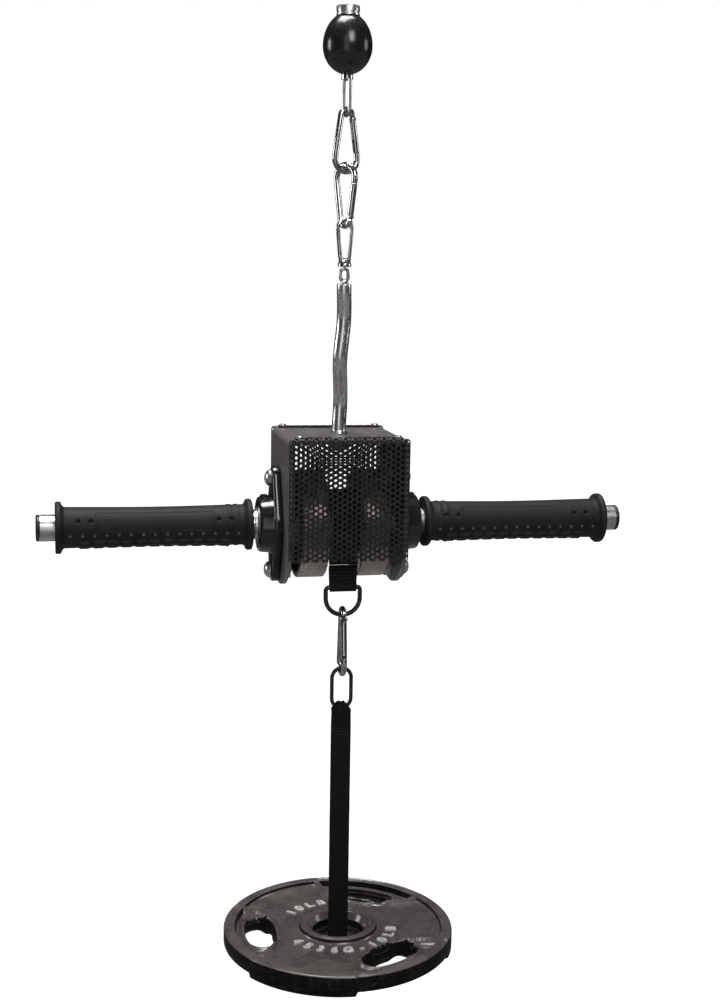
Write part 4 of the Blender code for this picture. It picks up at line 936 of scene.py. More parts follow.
def make_yoke():
    """One sheet, bent twice and rounded at both ends, from a grid on its flat pattern."""
    low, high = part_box("yoke_frame")
    half_width, radius = high.x, (high.y - low.y) / 2
    flat_top = half_width - YOKE_CORNER
    arc_length = YOKE_CORNER * math.pi / 2
    side = high.z - SHAFT.z - YOKE_CORNER
    edge = flat_top + arc_length + side
    stations = [flat_top * i / 6 for i in range(6)]
    stations += [flat_top + arc_length * i / 6 for i in range(7)]
    stations += [flat_top + arc_length + side * i / 6 for i in range(1, 7)]
    stations += [edge + radius * math.sin(math.pi / 2 * i / 22) for i in range(1, 22)]
    stations += [edge + radius * 0.9994]
    stations = [-s for s in reversed(stations[1:])] + stations
    steps = len(stations) - 1
    bpy.ops.mesh.primitive_grid_add(x_subdivisions=steps, y_subdivisions=12, size=1)
    piece = bpy.context.object
    for vertex in piece.data.vertices:
        place = stations[round((vertex.co.x + 0.5) * steps)]
        share = vertex.co.y * 2
        past = abs(place)
        if past <= flat_top:
            x, z = past, high.z
        elif past <= flat_top + arc_length:
            angle = (past - flat_top) / YOKE_CORNER
            x = flat_top + YOKE_CORNER * math.sin(angle)
            z = high.z - YOKE_CORNER + YOKE_CORNER * math.cos(angle)
        else:
            x, z = half_width, high.z - YOKE_CORNER - (past - flat_top - arc_length)
        below = max(0.0, past - edge)
        reach = math.sqrt(max(radius * radius - below * below, 1e-9))
        vertex.co = (x if place >= 0 else -x, SHAFT.y + share * reach, z)
    tidy(piece)
    # The sheet gets its thickness on the inner side, so its faces have to look out
    if sum(p.normal.z * p.area for p in piece.data.polygons) < 0:
        open_edit(piece)
        bpy.ops.mesh.flip_normals()
        close_edit()
    add_modifier(piece, "SOLIDIFY", thickness=YOKE_SHEET, offset=-1, use_even_offset=True)
    for radius, sides, rise in ((0.019, 56, 0), (BOLT_HOLE, 28, BOLT_RISE), (BOLT_HOLE, 28, -BOLT_RISE)):
        cut(piece, turn([(radius, -0.08), (radius, 0.08)], sides, "X", SHAFT + Vector((0, 0, rise))))
    cut(piece, turn([(0.0053, -0.01), (0.0053, 0.01)], 28, "Z", (0, SHAFT.y, high.z)))
    round_edges(piece, 0.0007, 2, 50)
    fit(piece, "yoke_sheet", YOKE_PAINT, "housing", "grey_paint", "yoke_frame", angle=40)


def slice_off(place, normal):
    """Cuts the faces selected in edit mode along a plane and takes away what lies past it."""
    bpy.ops.mesh.bisect(plane_co=place, plane_no=normal, clear_outer=True)


def trim(piece, wanted, place, normal):
    """Slices only the faces whose middle passes the test."""
    open_edit(piece)
    bpy.ops.mesh.select_mode(type="FACE")
    bpy.ops.mesh.select_all(action="DESELECT")
    close_edit()
    for polygon in piece.data.polygons:
        polygon.select = wanted(polygon.center)
    bpy.ops.object.mode_set(mode="EDIT")
    slice_off(place, normal)
    bpy.ops.mesh.select_mode(type="VERT")
    close_edit()


def hole_cell():
    """One hexagon of sheet round one hole, in the XZ plane."""
    bpy.ops.mesh.primitive_circle_add(vertices=12, radius=HOLE_SIZE, rotation=(math.pi / 2, 0, 0))
    cell = bpy.context.object
    settle()
    open_edit(cell)
    bpy.ops.mesh.extrude_region_move(TRANSFORM_OT_translate={"value": (0, 0, 0)})
    close_edit()
    for vertex in [v for v in cell.data.vertices if v.select]:
        angle = math.atan2(vertex.co.z, vertex.co.x)
        folded = (angle % (math.pi / 3)) - math.pi / 6
        distance = HOLE_PITCH / 2 / math.cos(folded)
        vertex.co = (distance * math.cos(angle), 0, distance * math.sin(angle))
    return cell


def flat_perforated(half, low, top, creases):
    """Sheet in the XZ plane, one cell copied all over it and trimmed, with a line of edges at
    each crease."""
    column = HOLE_PITCH * math.sqrt(3) / 2
    pairs = int(half / column) + 2
    rows = int((top - low) / HOLE_PITCH) + 3
    sheet = hole_cell()
    twin = copy_of(sheet)
    twin.data.transform(Matrix.Translation((column, 0, HOLE_PITCH / 2)))
    select_only(sheet, twin)
    bpy.ops.object.join()
    for count, step in ((rows, (0, 0, HOLE_PITCH)), (pairs + 1, (2 * column, 0, 0))):
        add_modifier(sheet, "ARRAY", count=count, use_relative_offset=False, use_constant_offset=True,
                     constant_offset_displace=step)
    sheet.data.transform(Matrix.Translation((-pairs * column, 0, low - HOLE_PITCH * 0.8)))
    open_edit(sheet)
    bpy.ops.mesh.remove_doubles(threshold=1e-5)
    for place, normal in (((half, 0, 0), (1, 0, 0)), ((-half, 0, 0), (-1, 0, 0)),
                          ((0, 0, top), (0, 0, 1)), ((0, 0, low), (0, 0, -1))):
        bpy.ops.mesh.select_all(action="SELECT")
        slice_off(place, normal)
    for height in creases:
        bpy.ops.mesh.select_all(action="SELECT")
        bpy.ops.mesh.bisect(plane_co=(0, 0, height), plane_no=(0, 0, 1))
    close_edit()
    return sheet


def make_guard(name, node, facing):
    """Perforated sheet with two rounded corners, bent back at its top, and its two screws."""
    low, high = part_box(node)
    across = high.x - YOKE_CORNER
    up = high.z - GUARD_CORNER
    fold = high.z - GUARD_BEND
    middle_radius = GUARD_BEND - GUARD_SHEET / 2
    fold_length = middle_radius * math.pi / 2
    flat_top = fold + fold_length + high.y - low.y - GUARD_BEND
    creases = (high.z, fold, fold + fold_length / 2, fold + fold_length)
    sheet = flat_perforated(high.x, low.z, flat_top, creases)
    for sign in (1, -1):
        trim(sheet, lambda c: c.z > high.z and c.x * sign > 0, (sign * across, 0, 0), (sign, 0, 0))
        for degrees in (46, 58, 70, 82):
            angle = math.radians(degrees)
            normal = (sign * math.cos(angle), 0, math.sin(angle))
            place = (sign * (across + GUARD_CORNER * math.cos(angle)), 0, up + GUARD_CORNER * math.sin(angle))
            trim(sheet, lambda c: c.z < high.z and c.x * sign > across, place, normal)
    front = low.y if facing < 0 else high.y
    for vertex in sheet.data.vertices:
        z = vertex.co.z
        if z <= fold:
            deep = GUARD_SHEET / 2
        elif z <= fold + fold_length:
            angle = (z - fold) / middle_radius
            vertex.co.z = fold + middle_radius * math.sin(angle)
            deep = GUARD_BEND - middle_radius * math.cos(angle)
        else:
            vertex.co.z = high.z - GUARD_SHEET / 2
            deep = GUARD_BEND + (z - fold - fold_length)
        vertex.co.y = front - facing * deep
    tidy(sheet)
    add_modifier(sheet, "SOLIDIFY", thickness=GUARD_SHEET, offset=0)
    fit(sheet, name, GUARD_PAINT, "housing", "black_paint", node, angle=28)

    screw = turn([(0.0016, high.z - 0.004), (0.0016, high.z), (0.0036, high.z), (0.0037, high.z + 0.0006),
                  (0.0031, high.z + 0.0017), (0.0018, high.z + 0.0022)], 28)
    for spin in (0.0, math.pi / 2):
        recess = block((-0.0018, -0.0004, high.z + 0.0012), (0.0018, 0.0004, high.z + 0.004))
        recess.data.transform(Matrix.Rotation(spin, 4, "Z"))
        cut(screw, recess)
    for side, sign in SIDES:
        one = copy_of(screw)
        one.data.transform(Matrix.Translation((sign * 0.047, front - facing * 0.0072, 0)))
        fit(one, f"{name}_screw_{side}", ZINC, "housing", "polished_steel")
    discard(screw)


# Flange bearings and their bolts

def casting_outline():
    """Rhombic flange: a wide circle at the shaft and a small one at each bolt."""
    waist, end = 0.030, 0.0115
    lean = math.asin((waist - end) / BOLT_RISE)
    outline = bend((0, 0), waist, -lean, lean, 8)
    outline += bend((0, BOLT_RISE), end, lean, math.pi - lean, 16)
    outline += bend((0, 0), waist, math.pi - lean, math.pi + lean, 8)
    outline += bend((0, -BOLT_RISE), end, math.pi + lean, math.tau - lean, 16)
    return outline


def on_face(rings):
    """Rings of a turned piece, with their places measured from the yoke's side."""
    return [(radius, FLANGE_FACE + place) for radius, place in rings]


def make_bearings():
    """The casting with its hub and grease boss, the inner ring with its set screw's hole, the race."""
    casting = outline_sheet(casting_outline(), "X", FLANGE_FACE, FLANGE_FACE + FLANGE_THICK)
    round_edges(casting, 0.0016, 3, 50)
    unite(casting, turn(on_face([(0.0290, 0.004), (0.0288, 0.0085), (0.0278, 0.0105), (0.0270, 0.0185),
                                 (0.0262, 0.0203), (0.0248, 0.021)]), 72, "X"))
    cut(casting, turn(on_face([(0.0228, -0.01), (0.0228, 0.05)]), 64, "X"))
    for rise in (-BOLT_RISE, BOLT_RISE):
        cut(casting, turn(on_face([(BOLT_HOLE, -0.01), (BOLT_HOLE, 0.03)]), 28, "X", (0, 0, rise)))
    unite(casting, turn([(0.0040, 0.024), (0.0040, 0.0280), (0.0032, 0.0290)], 28, "Z",
                        (FLANGE_FACE + 0.0150, 0, 0)))
    collar = turn(on_face([
        (GRIP_BORE, 0), (0.0172, 0), (0.0172, 0.0214), (0.0165, 0.0222), (0.0146, 0.0224), (0.0143, 0.0246),
        (0.0139, 0.025), (0.0134, 0.025), (GRIP_BORE, 0.0246), (GRIP_BORE, 0)]), 72, "X")
    cut(collar, turn([(0.0018, 0.0135), (0.0018, 0.02)], 20, "Z", (FLANGE_FACE + 0.0228, 0, 0)))
    race = turn(on_face([
        (0.0176, 0.002), (0.0224, 0.002), (0.0224, 0.0174), (0.0220, 0.018), (0.0196, 0.018),
        (0.0192, 0.0172), (0.0178, 0.0168), (0.0176, 0.0160), (0.0176, 0.002)]), 64, "X")
    fit_both((casting, "bearing_casting", CASTING_PAINT, "housing", "black_paint", "bearing_housing"),
             (collar, "bearing_collar", TUBE_STEEL, "roller", "polished_steel", "bearing_inner_ring"),
             (race, "bearing_race", ZINC, "housing", "polished_steel", "bearing_outer_ring"))


def make_bolts():
    """Dome-headed bolts with hexagon sockets."""
    seat = FLANGE_FACE + FLANGE_THICK + GAP
    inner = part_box("flange_bolt_right_upper")[0].x
    radius, tall = 0.0085, 0.0065
    rings = [(0.0040, inner), (0.0047, inner + 0.0008), (0.0047, seat), (radius - 0.0006, seat),
             (radius, seat + 0.0007)]
    for i in range(1, 9):
        angle = math.radians(12 + 66 * i / 8)
        rings.append((radius * math.cos(angle), seat + tall * math.sin(angle)))
    master = turn(rings, 48, "X")
    cut(master, turn([(0.0026, seat + 0.0038), (0.0028, seat + 0.01)], 6, "X"))
    for side, sign in SIDES:
        for level, rise in (("upper", BOLT_RISE), ("lower", -BOLT_RISE)):
            fit(side_copy(master, sign, rise), f"dome_bolt_{side}_{level}", ZINC, "housing", "polished_steel",
                f"flange_bolt_{side}_{level}")
    discard(master)


# Roller

def make_tube():
    low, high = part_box("roller_tube")
    outer, inner = 0.0127, 0.0102
    tube = turn([(inner, low.x), (outer - GAP, low.x), (outer, low.x + 0.0004), (outer, high.x - 0.0004),
                 (outer - GAP, high.x), (inner, high.x), (inner, low.x)], 72, "X", SHAFT)
    fit(tube, "shaft_tube", TUBE_STEEL, "roller", "polished_steel", "roller_tube")


def make_drums():
    """Two flanged shells, hollow towards the bearings, and the sleeve that the strap is wound on."""
    low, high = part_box("drum_right")
    rim = (high.z - low.z) / 2
    near, far = low.x, high.x
    wall, hub = 0.005, 0.021
    rings = [(GRIP_BORE, near), (rim - 0.0022, near), (rim - 0.0009, near + 0.0004),
             (rim - 0.0002, near + 0.0010), (rim, near + 0.0020), (rim, far - 0.0016),
             (rim - 0.0004, far - 0.0006), (rim - 0.0012, far), (rim - wall, far),
             (rim - wall, near + wall + 0.002), (rim - wall - 0.002, near + wall), (hub + 0.002, near + wall),
             (hub, near + wall + 0.002), (hub, far), (GRIP_BORE, far), (GRIP_BORE, near)]
    shell = turn(rings, 128, "X")
    fit_both((shell, "drum_shell", DRUM_METAL, "roller", "drum_metal", "drum"))

    low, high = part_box("spool_core")
    reach = (high.z - low.z) / 2
    core = turn([(GRIP_BORE, low.x), (reach, low.x), (reach, high.x), (GRIP_BORE, high.x),
                 (GRIP_BORE, low.x)], 96, "X", SHAFT)
    fit(core, "spool_sleeve", DRUM_METAL, "roller", "drum_metal", "spool_core")


def grip_relief(length, place, angle):
    """How far the grip's skin stands in or out at a place along it and round it, and how much light or shade
    is painted there: plus for painted highlights on studs and knobs, -1 for painted shade in the dimples. The
    angle is 0 at the front and grows upwards."""
    share = place / length
    relief = -0.0011 * math.sin(math.pi * share) ** 1.5
    relief_light_and_shade = 0.0
    round_it = wrap(angle)
    inset = min(place, length - place) - 0.038
    beside = PANEL_HALF - abs(round_it - PANEL_AT)
    if inset > -0.001 and beside > 0:
        relief -= 0.0005 * min(1.0, max(0.0, inset / 0.0012 + 0.8)) * min(1.0, beside / 0.05)
    from_middle = place - length / 2
    if abs(from_middle) < 7.4 * STUD_PITCH:
        off_stud = abs(from_middle - round(from_middle / STUD_PITCH) * STUD_PITCH)
        distance = math.hypot((round_it - STUDS_AT) * GRIP_RADIUS, off_stud)
        stud = 1 - smooth(distance, 0.0007, 0.0019)
        relief += 0.0011 * stud
        # Each stud gets a painted highlight.
        relief_light_and_shade = max(relief_light_and_shade, stud)
    for row, angle_at in enumerate(BLOCK_ROWS):
        off_row = abs(wrap(round_it - angle_at)) * GRIP_RADIUS
        if off_row > 0.003 or inset < -0.017:
            continue
        step = from_middle / BLOCK_PITCH + 0.5 * (row % 2)
        off_block = abs(step - round(step)) * BLOCK_PITCH
        wide = 1 - smooth(off_row, 0.0014, 0.0026)
        long = 1 - smooth(off_block, 0.0040, 0.0054)
        relief += 0.0012 * wide * long * min(1.0, max(0.0, (inset + 0.017) / 0.002))
        # Each knob gets a weaker painted highlight.
        relief_light_and_shade = max(relief_light_and_shade, 0.32 * wide * long)
    for spot in (0.021, 0.033, length - 0.033, length - 0.021):
        distance = math.hypot(place - spot, (round_it - DIMPLES_AT) * GRIP_RADIUS)
        if distance < DIMPLE_RADIUS:
            relief -= 0.0018 * (1 - (distance / DIMPLE_RADIUS) ** 2)
            # Each dimple gets painted shade.
            relief_light_and_shade = -1.0
    return relief, relief_light_and_shade


def make_grips():
    """Rubber grips with end flanges, two raised rings, a smooth panel, studs and knobs."""
    low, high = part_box("grip_right")
    start, length = low.x, high.x - low.x
    wide = GRIP_FLANGE_RADIUS
    flange = [(GRIP_BORE, 0.0), (wide - 0.0016, 0.0), (wide - 0.0005, 0.0004), (wide, 0.0014), (wide, 0.0044),
              (wide - 0.0008, 0.0057), (GRIP_RADIUS + 0.0016, 0.0066), (GRIP_RADIUS + 0.0004, 0.0078),
              (GRIP_RADIUS, GRIP_FLANGE_END)]
    profile = list(flange)
    between = length - 2 * GRIP_FLANGE_END
    steps = int(between / 0.00062)
    for i in range(1, steps):
        place = GRIP_FLANGE_END + between * i / steps
        raised = 0.0
        for ring_at in (0.0153, 0.0223):
            raised = max(raised, 0.0006 * max(0.0, min(1.0, (0.0024 - abs(place - ring_at)) / 0.0009)))
        profile.append((GRIP_RADIUS + raised, place))
    profile += [(radius, length - place) for radius, place in reversed(flange)]
    profile.append(profile[0])
    blank = turn([(radius, start + place) for radius, place in profile], 132, "X")
    # Per-point painted light for the rubber: highlights on studs and knobs, shade in the dimples.
    wear_and_relief_light = blank.data.attributes.new("relief_light_and_shade", "FLOAT", "POINT")
    for vertex in blank.data.vertices:
        place = vertex.co.x - start
        radius = math.hypot(vertex.co.y, vertex.co.z)
        if min(place, length - place) >= GRIP_FLANGE_END - 0.0001 and radius > GRIP_BORE + 0.001:
            angle = math.atan2(vertex.co.z, -vertex.co.y)
            relief, wear_and_relief_light.data[vertex.index].value = grip_relief(length, place, angle)
            grown = (radius + relief) / radius
            vertex.co.y *= grown
            vertex.co.z *= grown
    for side, sign in SIDES:
        grip = copy_of(blank)
        grip.data.transform(Matrix.Translation(SHAFT) @ Matrix.Diagonal((sign, 1, 1, 1)))
        tidy(grip)
        fit(grip, f"rubber_grip_{side}", GRIP_RUBBER, "roller", "grip_rubber", f"grip_{side}", angle=60)
    discard(blank)


def make_caps():
    low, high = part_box("end_cap_right")
    inside = 0.0099
    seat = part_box("roller_tube")[1].x + GAP
    cap = turn([(inside - 0.001, low.x), (inside, low.x + 0.0015), (inside, seat), (0.0125, seat),
                (0.0127, seat + 0.0004), (0.0127, high.x - 0.0013), (0.0122, high.x - 0.0005),
                (0.0112, high.x), (0.0080, high.x), (0.0076, high.x - 0.0004)], 64, "X")
    fit_both((cap, "tube_plug", CAP_PLASTIC, "roller", "gloss_black", "end_cap"))


# Straps

def lay_webbing(line, width_at, thick, closed=False, crown=0.00015):
    """Webbing along a line of (y, z) points, from a grid that is laid on it. Its map is in metres,
    and its middle stands out by the crown."""
    count = len(line)
    rows = count if closed else count - 1
    lengths = [0.0]
    for i in range(rows):
        a, b = line[i], line[(i + 1) % count]
        lengths.append(lengths[-1] + math.hypot(b[0] - a[0], b[1] - a[1]))
    bpy.ops.mesh.primitive_grid_add(x_subdivisions=14, y_subdivisions=rows, size=1, calc_uvs=True)
    piece = bpy.context.object
    piece.data.uv_layers[0].name = "webbing"
    places = {}
    for vertex in piece.data.vertices:
        row = round((vertex.co.y + 0.5) * rows)
        share = vertex.co.x * 2
        spot = line[row % count]
        before = line[(row - 1) % count] if closed or row > 0 else line[row]
        after = line[(row + 1) % count] if closed or row < count - 1 else line[row]
        run_y, run_z = after[0] - before[0], after[1] - before[1]
        size = math.hypot(run_y, run_z)
        normal = (-run_z / size, run_y / size)
        width = width_at(row / rows)
        lift = crown * (1 - share * share)
        places[vertex.index] = (share * width / 2, lengths[row])
        vertex.co = (share * width / 2, spot[0] + normal[0] * lift, spot[1] + normal[1] * lift)
    layer = piece.data.uv_layers["webbing"].data
    for loop in piece.data.loops:
        layer[loop.index].uv = places[loop.vertex_index]
    if closed:
        open_edit(piece)
        bpy.ops.mesh.remove_doubles(threshold=1e-6)
        close_edit()
    add_modifier(piece, "SOLIDIFY", thickness=thick, offset=0)
    round_edges(piece, thick * 0.3, 2, 60)
    return piece


def make_stitches(spots, name, body):
    """Stitches as one piece: a short fat thread laid at each (centre, direction)."""
    made = []
    for centre, direction in spots:
        bpy.ops.mesh.primitive_uv_sphere_add(segments=8, ring_count=6, radius=1)
        one = bpy.context.object
        turned = Vector(direction).to_track_quat("X", "Y").to_matrix().to_4x4()
        one.data.transform(Matrix.Translation(centre) @ turned @ Matrix.Diagonal((*STITCH, 1)))
        made.append(one)
    select_only(*made)
    bpy.ops.object.join()
    fit(made[0], name, THREAD, body, "webbing", angle=60)


def make_wound_strap():
    steps = 60
    line = []
    for i in range(WOUND_TURNS * steps + 1):
        turned = math.tau * i / steps
        radius = WOUND_RADIUS - WOUND_PITCH * turned / math.tau
        line.append((SHAFT.y - radius * math.cos(turned), SHAFT.z + radius * math.sin(turned)))
    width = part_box("wound_strap")[1].x * 2
    coil = lay_webbing(line, lambda share: width, WEBBING_THICK, crown=0.0)
    fit(coil, "strap_coil", WEBBING, "roller", "webbing", "wound_strap", angle=50)


def make_strap_run():
    """The free run, which is drawn out between the drum and the strap's end."""
    low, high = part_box("lift_strap")
    steps = 24
    line = [(LOAD_LINE, high.z + (low.z - high.z) * i / steps) for i in range(steps + 1)]
    run = lay_webbing(line, lambda share: high.x - low.x, WEBBING_THICK)
    finish(run, "strap_run", WEBBING, 50)
    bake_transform(run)
    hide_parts("lift_strap")


def make_sewn_loop():
    """The strap's end, laid round the D-ring's straight bar and sewn to itself above it."""
    low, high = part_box("lift_strap")
    width = high.x - low.x
    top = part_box("strap_end_loop")[1].z
    bar_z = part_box("d_ring")[1].z - D_WIRE
    round_bar = D_WIRE + GAP + WEBBING_THICK / 2
    step, neck = 0.0012, 0.0052
    line = [(LOAD_LINE, top - i * step) for i in range(int((top - bar_z - neck) / step) + 1)]
    line += [(LOAD_LINE - round_bar * 0.45, bar_z + 0.0036)]
    line += bend((LOAD_LINE, bar_z), round_bar, math.radians(140), math.radians(400), 22)
    line += [(LOAD_LINE + 0.00185, bar_z + 0.0041), (LOAD_LINE + 0.00165, bar_z + 0.0055)]
    back_low, back_high = bar_z + 0.0068, top - step
    line += [(LOAD_LINE + 0.00155, back_low + (back_high - back_low) * i / 10) for i in range(11)]
    loop = lay_webbing(line, lambda share: width - 0.0026 * math.sin(math.pi * share) ** 2,
                       WEBBING_THICK * 0.72)
    fit(loop, "sewn_loop", WEBBING, "strap_end", "webbing", "strap_end_loop", angle=50)

    face = LOAD_LINE - WEBBING_THICK * 0.36 - 0.00022
    spots = [((-0.0108 + k * 0.0027, face, top - 0.0035 - row * 0.0032), (1, 0, 0))
             for row in range(4) for k in range(9)]
    spots += [((column, face, top - 0.0045 - k * 0.0027), (0, 0, 1))
              for column in (-0.0118, 0.0118) for k in range(4)]
    make_stitches(spots, "loop_stitches", "strap_end")


def make_rings():
    low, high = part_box("d_ring")
    bow = (high.x - low.x) / 2 - D_WIRE
    corner = 0.003
    corner_z = high.z - D_WIRE - corner
    line = bend((0, low.z + D_WIRE + bow), bow, math.pi, math.tau, 30)
    line += bend((bow - corner, corner_z), corner, 0, math.pi / 2, 8)
    line += bend((-bow + corner, corner_z), corner, math.pi / 2, math.pi, 8)
    ring = bar(upright(line, LOAD_LINE), D_WIRE, closed=True, smoothness=6)
    fit(ring, "d_link", RING_BLACK, "d_ring_link", "black_paint", "d_ring", angle=60)

    low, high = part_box("oval_ring")
    half = (high.x - low.x) / 2 - OVAL_WIRE
    line = bend((0, high.z - OVAL_WIRE - half), half, 0, math.pi, 24)
    line += bend((0, low.z + OVAL_WIRE + half), half, math.pi, math.tau, 24)
    ring = bar(upright(line, LOAD_LINE), OVAL_WIRE * WIRE_SHARE, closed=True, smoothness=6)
    fit(ring, "oval_link", RING_BLACK, "ring_link", "black_paint", "oval_ring", angle=60)


def make_loading_strap():
    """One closed band: over the oval ring's lower bow, down on both sides and round the stop pin.
    Near the ring it is cupped round the bow."""
    low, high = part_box("loading_strap")
    width = high.x - low.x
    ring_low, ring_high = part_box("oval_ring")
    bow = ring_low.z + OVAL_WIRE
    pin = middle("stop_pin").z
    loop_radius = min((high.y - low.y) / 2 - WEBBING_THICK / 2, PIN_ROOM)
    pin_radius = PIN_ROOM + WEBBING_THICK / 2
    flat = WEBBING_THICK / 2 + 0.0001
    first, last = pin + pin_radius * 1.5, bow - 0.009
    front = [(-flat, first + (last - first) * i / 40) for i in range(41)]
    front += [(-flat - 0.0010, bow - 0.0074), (-loop_radius * 0.68, bow - 0.0055),
              (-loop_radius * 0.96, bow - 0.0030)]
    line = front + [(-a, b) for a, b in bend((0, high.z - WEBBING_THICK / 2 - loop_radius), loop_radius,
                                             0, math.pi, 16)]
    line += [(-a, b) for a, b in reversed(front)]
    line += bend((0, pin), pin_radius, math.radians(62), math.radians(-242), 26)
    line = [(LOAD_LINE + a, b) for a, b in line]
    strap = lay_webbing(line, lambda share: width, WEBBING_THICK, closed=True, crown=0.0)

    ring_half = (ring_high.x - ring_low.x) / 2 - OVAL_WIRE
    bow_centre = bow + ring_half
    for vertex in strap.data.vertices:
        x, z = vertex.co.x, vertex.co.z
        hug = smooth(z, bow - 0.021, bow - 0.007)
        turned = x / (width / 2) * STRAP_CUP
        reach = bow_centre - z
        vertex.co.x += hug * (min(reach, ring_half + 0.0046) * math.sin(turned) - x)
        vertex.co.z += hug * (bow_centre - reach * math.cos(turned) - z)
    fit(strap, "loading_webbing", WEBBING, "strap_with_stop", "webbing", "loading_strap", angle=50)
    face = LOAD_LINE - WEBBING_THICK - 0.00012
    make_stitches([((-0.0066 + k * 0.00264, face, bow - 0.0205 - row * 0.0030), (1, 0, 0))
                   for row in range(3) for k in range(6)], "loading_stitches", "strap_with_stop")


# Stop and plate

def make_stop():
    low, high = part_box("stop_disc")
    radius = (high.x - low.x) / 2
    disc = turn([(radius - 0.0016, low.z), (radius - 0.0004, low.z + 0.0004), (radius, low.z + 0.0015),
                 (radius, high.z - 0.0008), (radius - 0.0008, high.z)], 96, "Z", (0, LOAD_LINE, 0))
    strap_low, strap_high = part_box("loading_strap")
    half, deep = (strap_high.x - strap_low.x) / 2 + GAP, 0.0023
    cut(disc, block((-half, LOAD_LINE - deep, low.z - 0.01), (half, LOAD_LINE + deep, high.z + 0.01)))
    fit(disc, "stop_washer", ZINC, "strap_with_stop", "polished_steel", "stop_disc")
    low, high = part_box("stop_pin")
    pin = turn([(0.0034, low.x), (0.004, low.x + 0.0006), (0.004, high.x - 0.0006), (0.0034, high.x)],
               40, "X", (0, LOAD_LINE, (low.z + high.z) / 2))
    fit(pin, "stop_dowel", ZINC, "strap_with_stop", "polished_steel", "stop_pin")


def off_slot(x, y, angle):
    """Angle at the plate's centre from the middle of a grip slot to a point."""
    return wrap(math.atan2(y, x) - angle)


def slot_distance(x, y, angle):
    """Distance from a point of the plate to the curved middle line of a grip slot."""
    held = angle + min(SLOT_SPREAD, max(-SLOT_SPREAD, off_slot(x, y, angle)))
    return math.hypot(x - SLOT_RING * math.cos(held), y - SLOT_RING * math.sin(held))


def pocket_place(x, y, angle):
    """1 on the edge of the oval pocket round a grip slot, less inside it and more outside."""
    along = x * math.cos(angle) + y * math.sin(angle)
    aside = -x * math.sin(angle) + y * math.cos(angle)
    return math.hypot((along - POCKET_AT) / POCKET_DEEP, aside / POCKET_WIDE)


def plate_depth(radius_out, x, y):
    """How far the plate's face lies below its highest plane at a point."""
    radius = math.hypot(x, y)
    rim_in = radius_out - PLATE_RIM
    rim = smooth(radius, rim_in - 0.0020, rim_in)
    hub = 1 - smooth(radius, PLATE_HUB, PLATE_HUB + 0.0022)
    depth = PLATE_SINK * (1 - max(rim, hub))
    depth += 0.0075 * (1 - smooth(radius, PLATE_HOLE - 0.001, PLATE_HOLE + 0.0052))
    depth += 0.0007 * (1 - smooth(abs(radius - PLATE_HUB + 0.0030), 0.0004, 0.0012))
    for angle in SLOT_ANGLES:
        place = pocket_place(x, y, angle)
        if place < 1.15:
            ridge = 1 - smooth(abs(place - 1.0), 0.012, 0.050)
            depth -= (depth - 0.0003) * ridge * (1 - rim) * (1 - hub)
            depth += 0.0022 * (1 - smooth(place, 0.88, 0.965)) * (1 - rim)
        if abs(off_slot(x, y, angle)) < HANDLE_HALF:
            depth += 0.0016 * smooth(radius, radius_out - 0.008, radius_out) ** 2
        slot = slot_distance(x, y, angle)
        if depth > 0.0022:
            lip = 1 - smooth(abs(slot - SLOT_HALF - 0.0030), 0.0008, 0.0032)
            depth -= (depth - 0.0022) * 0.7 * lip * (1 - rim)
        depth += 0.0032 * (1 - smooth(slot, SLOT_HALF - 0.0006, SLOT_HALF + 0.0018))
    return depth


def slot_outline():
    """A bent slot with round ends, in the plate's plane and across +X."""
    spread, half_turn = SLOT_SPREAD, math.pi
    x, y = SLOT_RING * math.cos(spread), SLOT_RING * math.sin(spread)
    outline = bend((0, 0), SLOT_RING + SLOT_HALF, -spread, spread, 12)
    outline += bend((x, y), SLOT_HALF, spread, spread + half_turn, 14)[1:]
    outline += bend((0, 0), SLOT_RING - SLOT_HALF, spread, -spread, 12)[1:]
    outline += bend((x, -y), SLOT_HALF, half_turn - spread, 2 * half_turn - spread, 14)[1:-1]
    return outline


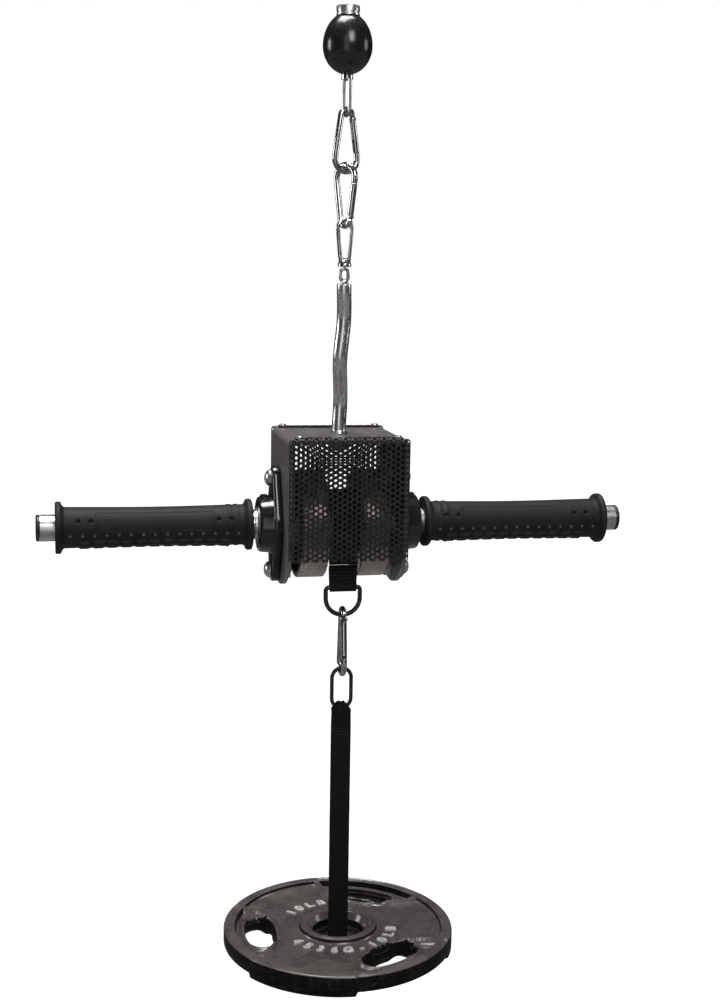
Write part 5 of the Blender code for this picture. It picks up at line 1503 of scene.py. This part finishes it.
def make_plate():
    """Turned blank whose two faces are shaped like the casting, with three grip slots cut out."""
    low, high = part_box("weight_plate")
    radius_out = (high.x - low.x) / 2
    half = (high.z - low.z) / 2
    stations = [PLATE_HOLE + (radius_out - 0.0028 - PLATE_HOLE) * i / 96 for i in range(97)]
    upper = [(PLATE_HOLE, 0.0015)] + [(radius, half) for radius in stations]
    upper += [(radius_out - 0.0014, half - 0.0003), (radius_out - 0.0004, half - 0.0013),
              (radius_out, half - 0.0028)]
    lower = [(radius, -z) for radius, z in reversed(upper)]
    plate = turn([lower[-1]] + upper + lower, 330)
    for vertex in plate.data.vertices:
        x, y, z = vertex.co
        if abs(abs(z) - half) < 1e-6:
            vertex.co.z -= math.copysign(plate_depth(radius_out, x, y), z)
        radius = math.hypot(x, y)
        handle = any(abs(off_slot(x, y, angle)) < HANDLE_HALF for angle in SLOT_ANGLES)
        if handle and radius > radius_out - 0.014:
            out = smooth(radius, radius_out - 0.014, radius_out - 0.002)
            below = z < half * 0.9
            vertex.co.z += HANDLE_LIFT * out * (0.5 - z / (2 * half)) if below else -0.0016 * out * out
    tidy(plate)
    for angle in SLOT_ANGLES:
        tool = outline_sheet(slot_outline(), "Z", -0.03, 0.03)
        tool.data.transform(Matrix.Rotation(angle, 4, "Z"))
        cut(plate, tool)
    plate.data.transform(Matrix.Translation((0, LOAD_LINE, (high.z + low.z) / 2)))
    fit(plate, "plate_casting", PLATE_PAINT, "plate", "plate_iron", "weight_plate", angle=50)
    # Steep faces (the outer wall, slot walls and the steps at the hub and rim) get the darker copy as painted
    # shade.
    plate.data.materials.append(PLATE_SHADED_SIDE_PAINT)
    for face in plate.data.polygons:
        face.material_index = 1 if abs(face.normal.z) < 0.45 else 0


def make_numerals():
    """The plate's weight in raised numerals along two arcs of its upper face."""
    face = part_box("weight_plate")[1].z - PLATE_SINK
    made = []
    for words, radius, start, step, size in (
        ("10LB", 0.0550, 138, -13.4, 0.0146),
        ("4536G-10LB", 0.0535, 212, 14.6, 0.0142),
    ):
        for k, letter in enumerate(words):
            angle = math.radians(start + step * k)
            bpy.ops.object.text_add(location=(0, 0, 0))
            set_all(bpy.context.object.data, {
                "body": letter, "size": size, "align_x": "CENTER", "align_y": "CENTER",
                "extrude": 0.0008, "offset": 0.00030, "bevel_depth": 0.0003, "bevel_resolution": 1,
            })
            bpy.ops.object.convert(target="MESH")
            text = bpy.context.object
            foot = angle + math.copysign(math.pi / 2, step)
            place = (radius * math.cos(angle), LOAD_LINE + radius * math.sin(angle), face + 0.0004)
            text.data.transform(Matrix.Translation(place) @ Matrix.Rotation(foot, 4, "Z"))
            made.append(text)
    select_only(*made)
    bpy.ops.object.join()
    fit(made[0], "weight_numerals", NUMERAL_SILVER, "plate", "plate_iron", angle=40)


# Solids that keep their shape and get a better surface

def dress_kept_solids():
    for name in ("rod_washer", "rod_nut", "flange_nut_left_lower", "flange_nut_left_upper",
                 "flange_nut_right_lower", "flange_nut_right_upper"):
        paint(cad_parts[name], ZINC)


bpy.context.scene.view_settings.view_transform = "Standard"
make_camera()
make_world()
make_floor()
make_lamps()
make_flags()
make_ferrule()
make_ball()
make_end_eye()
make_hooks()
make_swivel_eye()
make_hanger_rod()
make_yoke()
make_guard("front_mesh", "front_guard", -1)
make_guard("rear_mesh", "rear_guard", 1)
make_bearings()
make_bolts()
make_tube()
make_drums()
make_grips()
make_caps()
make_wound_strap()
make_strap_run()
make_sewn_loop()
make_rings()
make_loading_strap()
make_stop()
make_plate()
make_numerals()
dress_kept_solids()
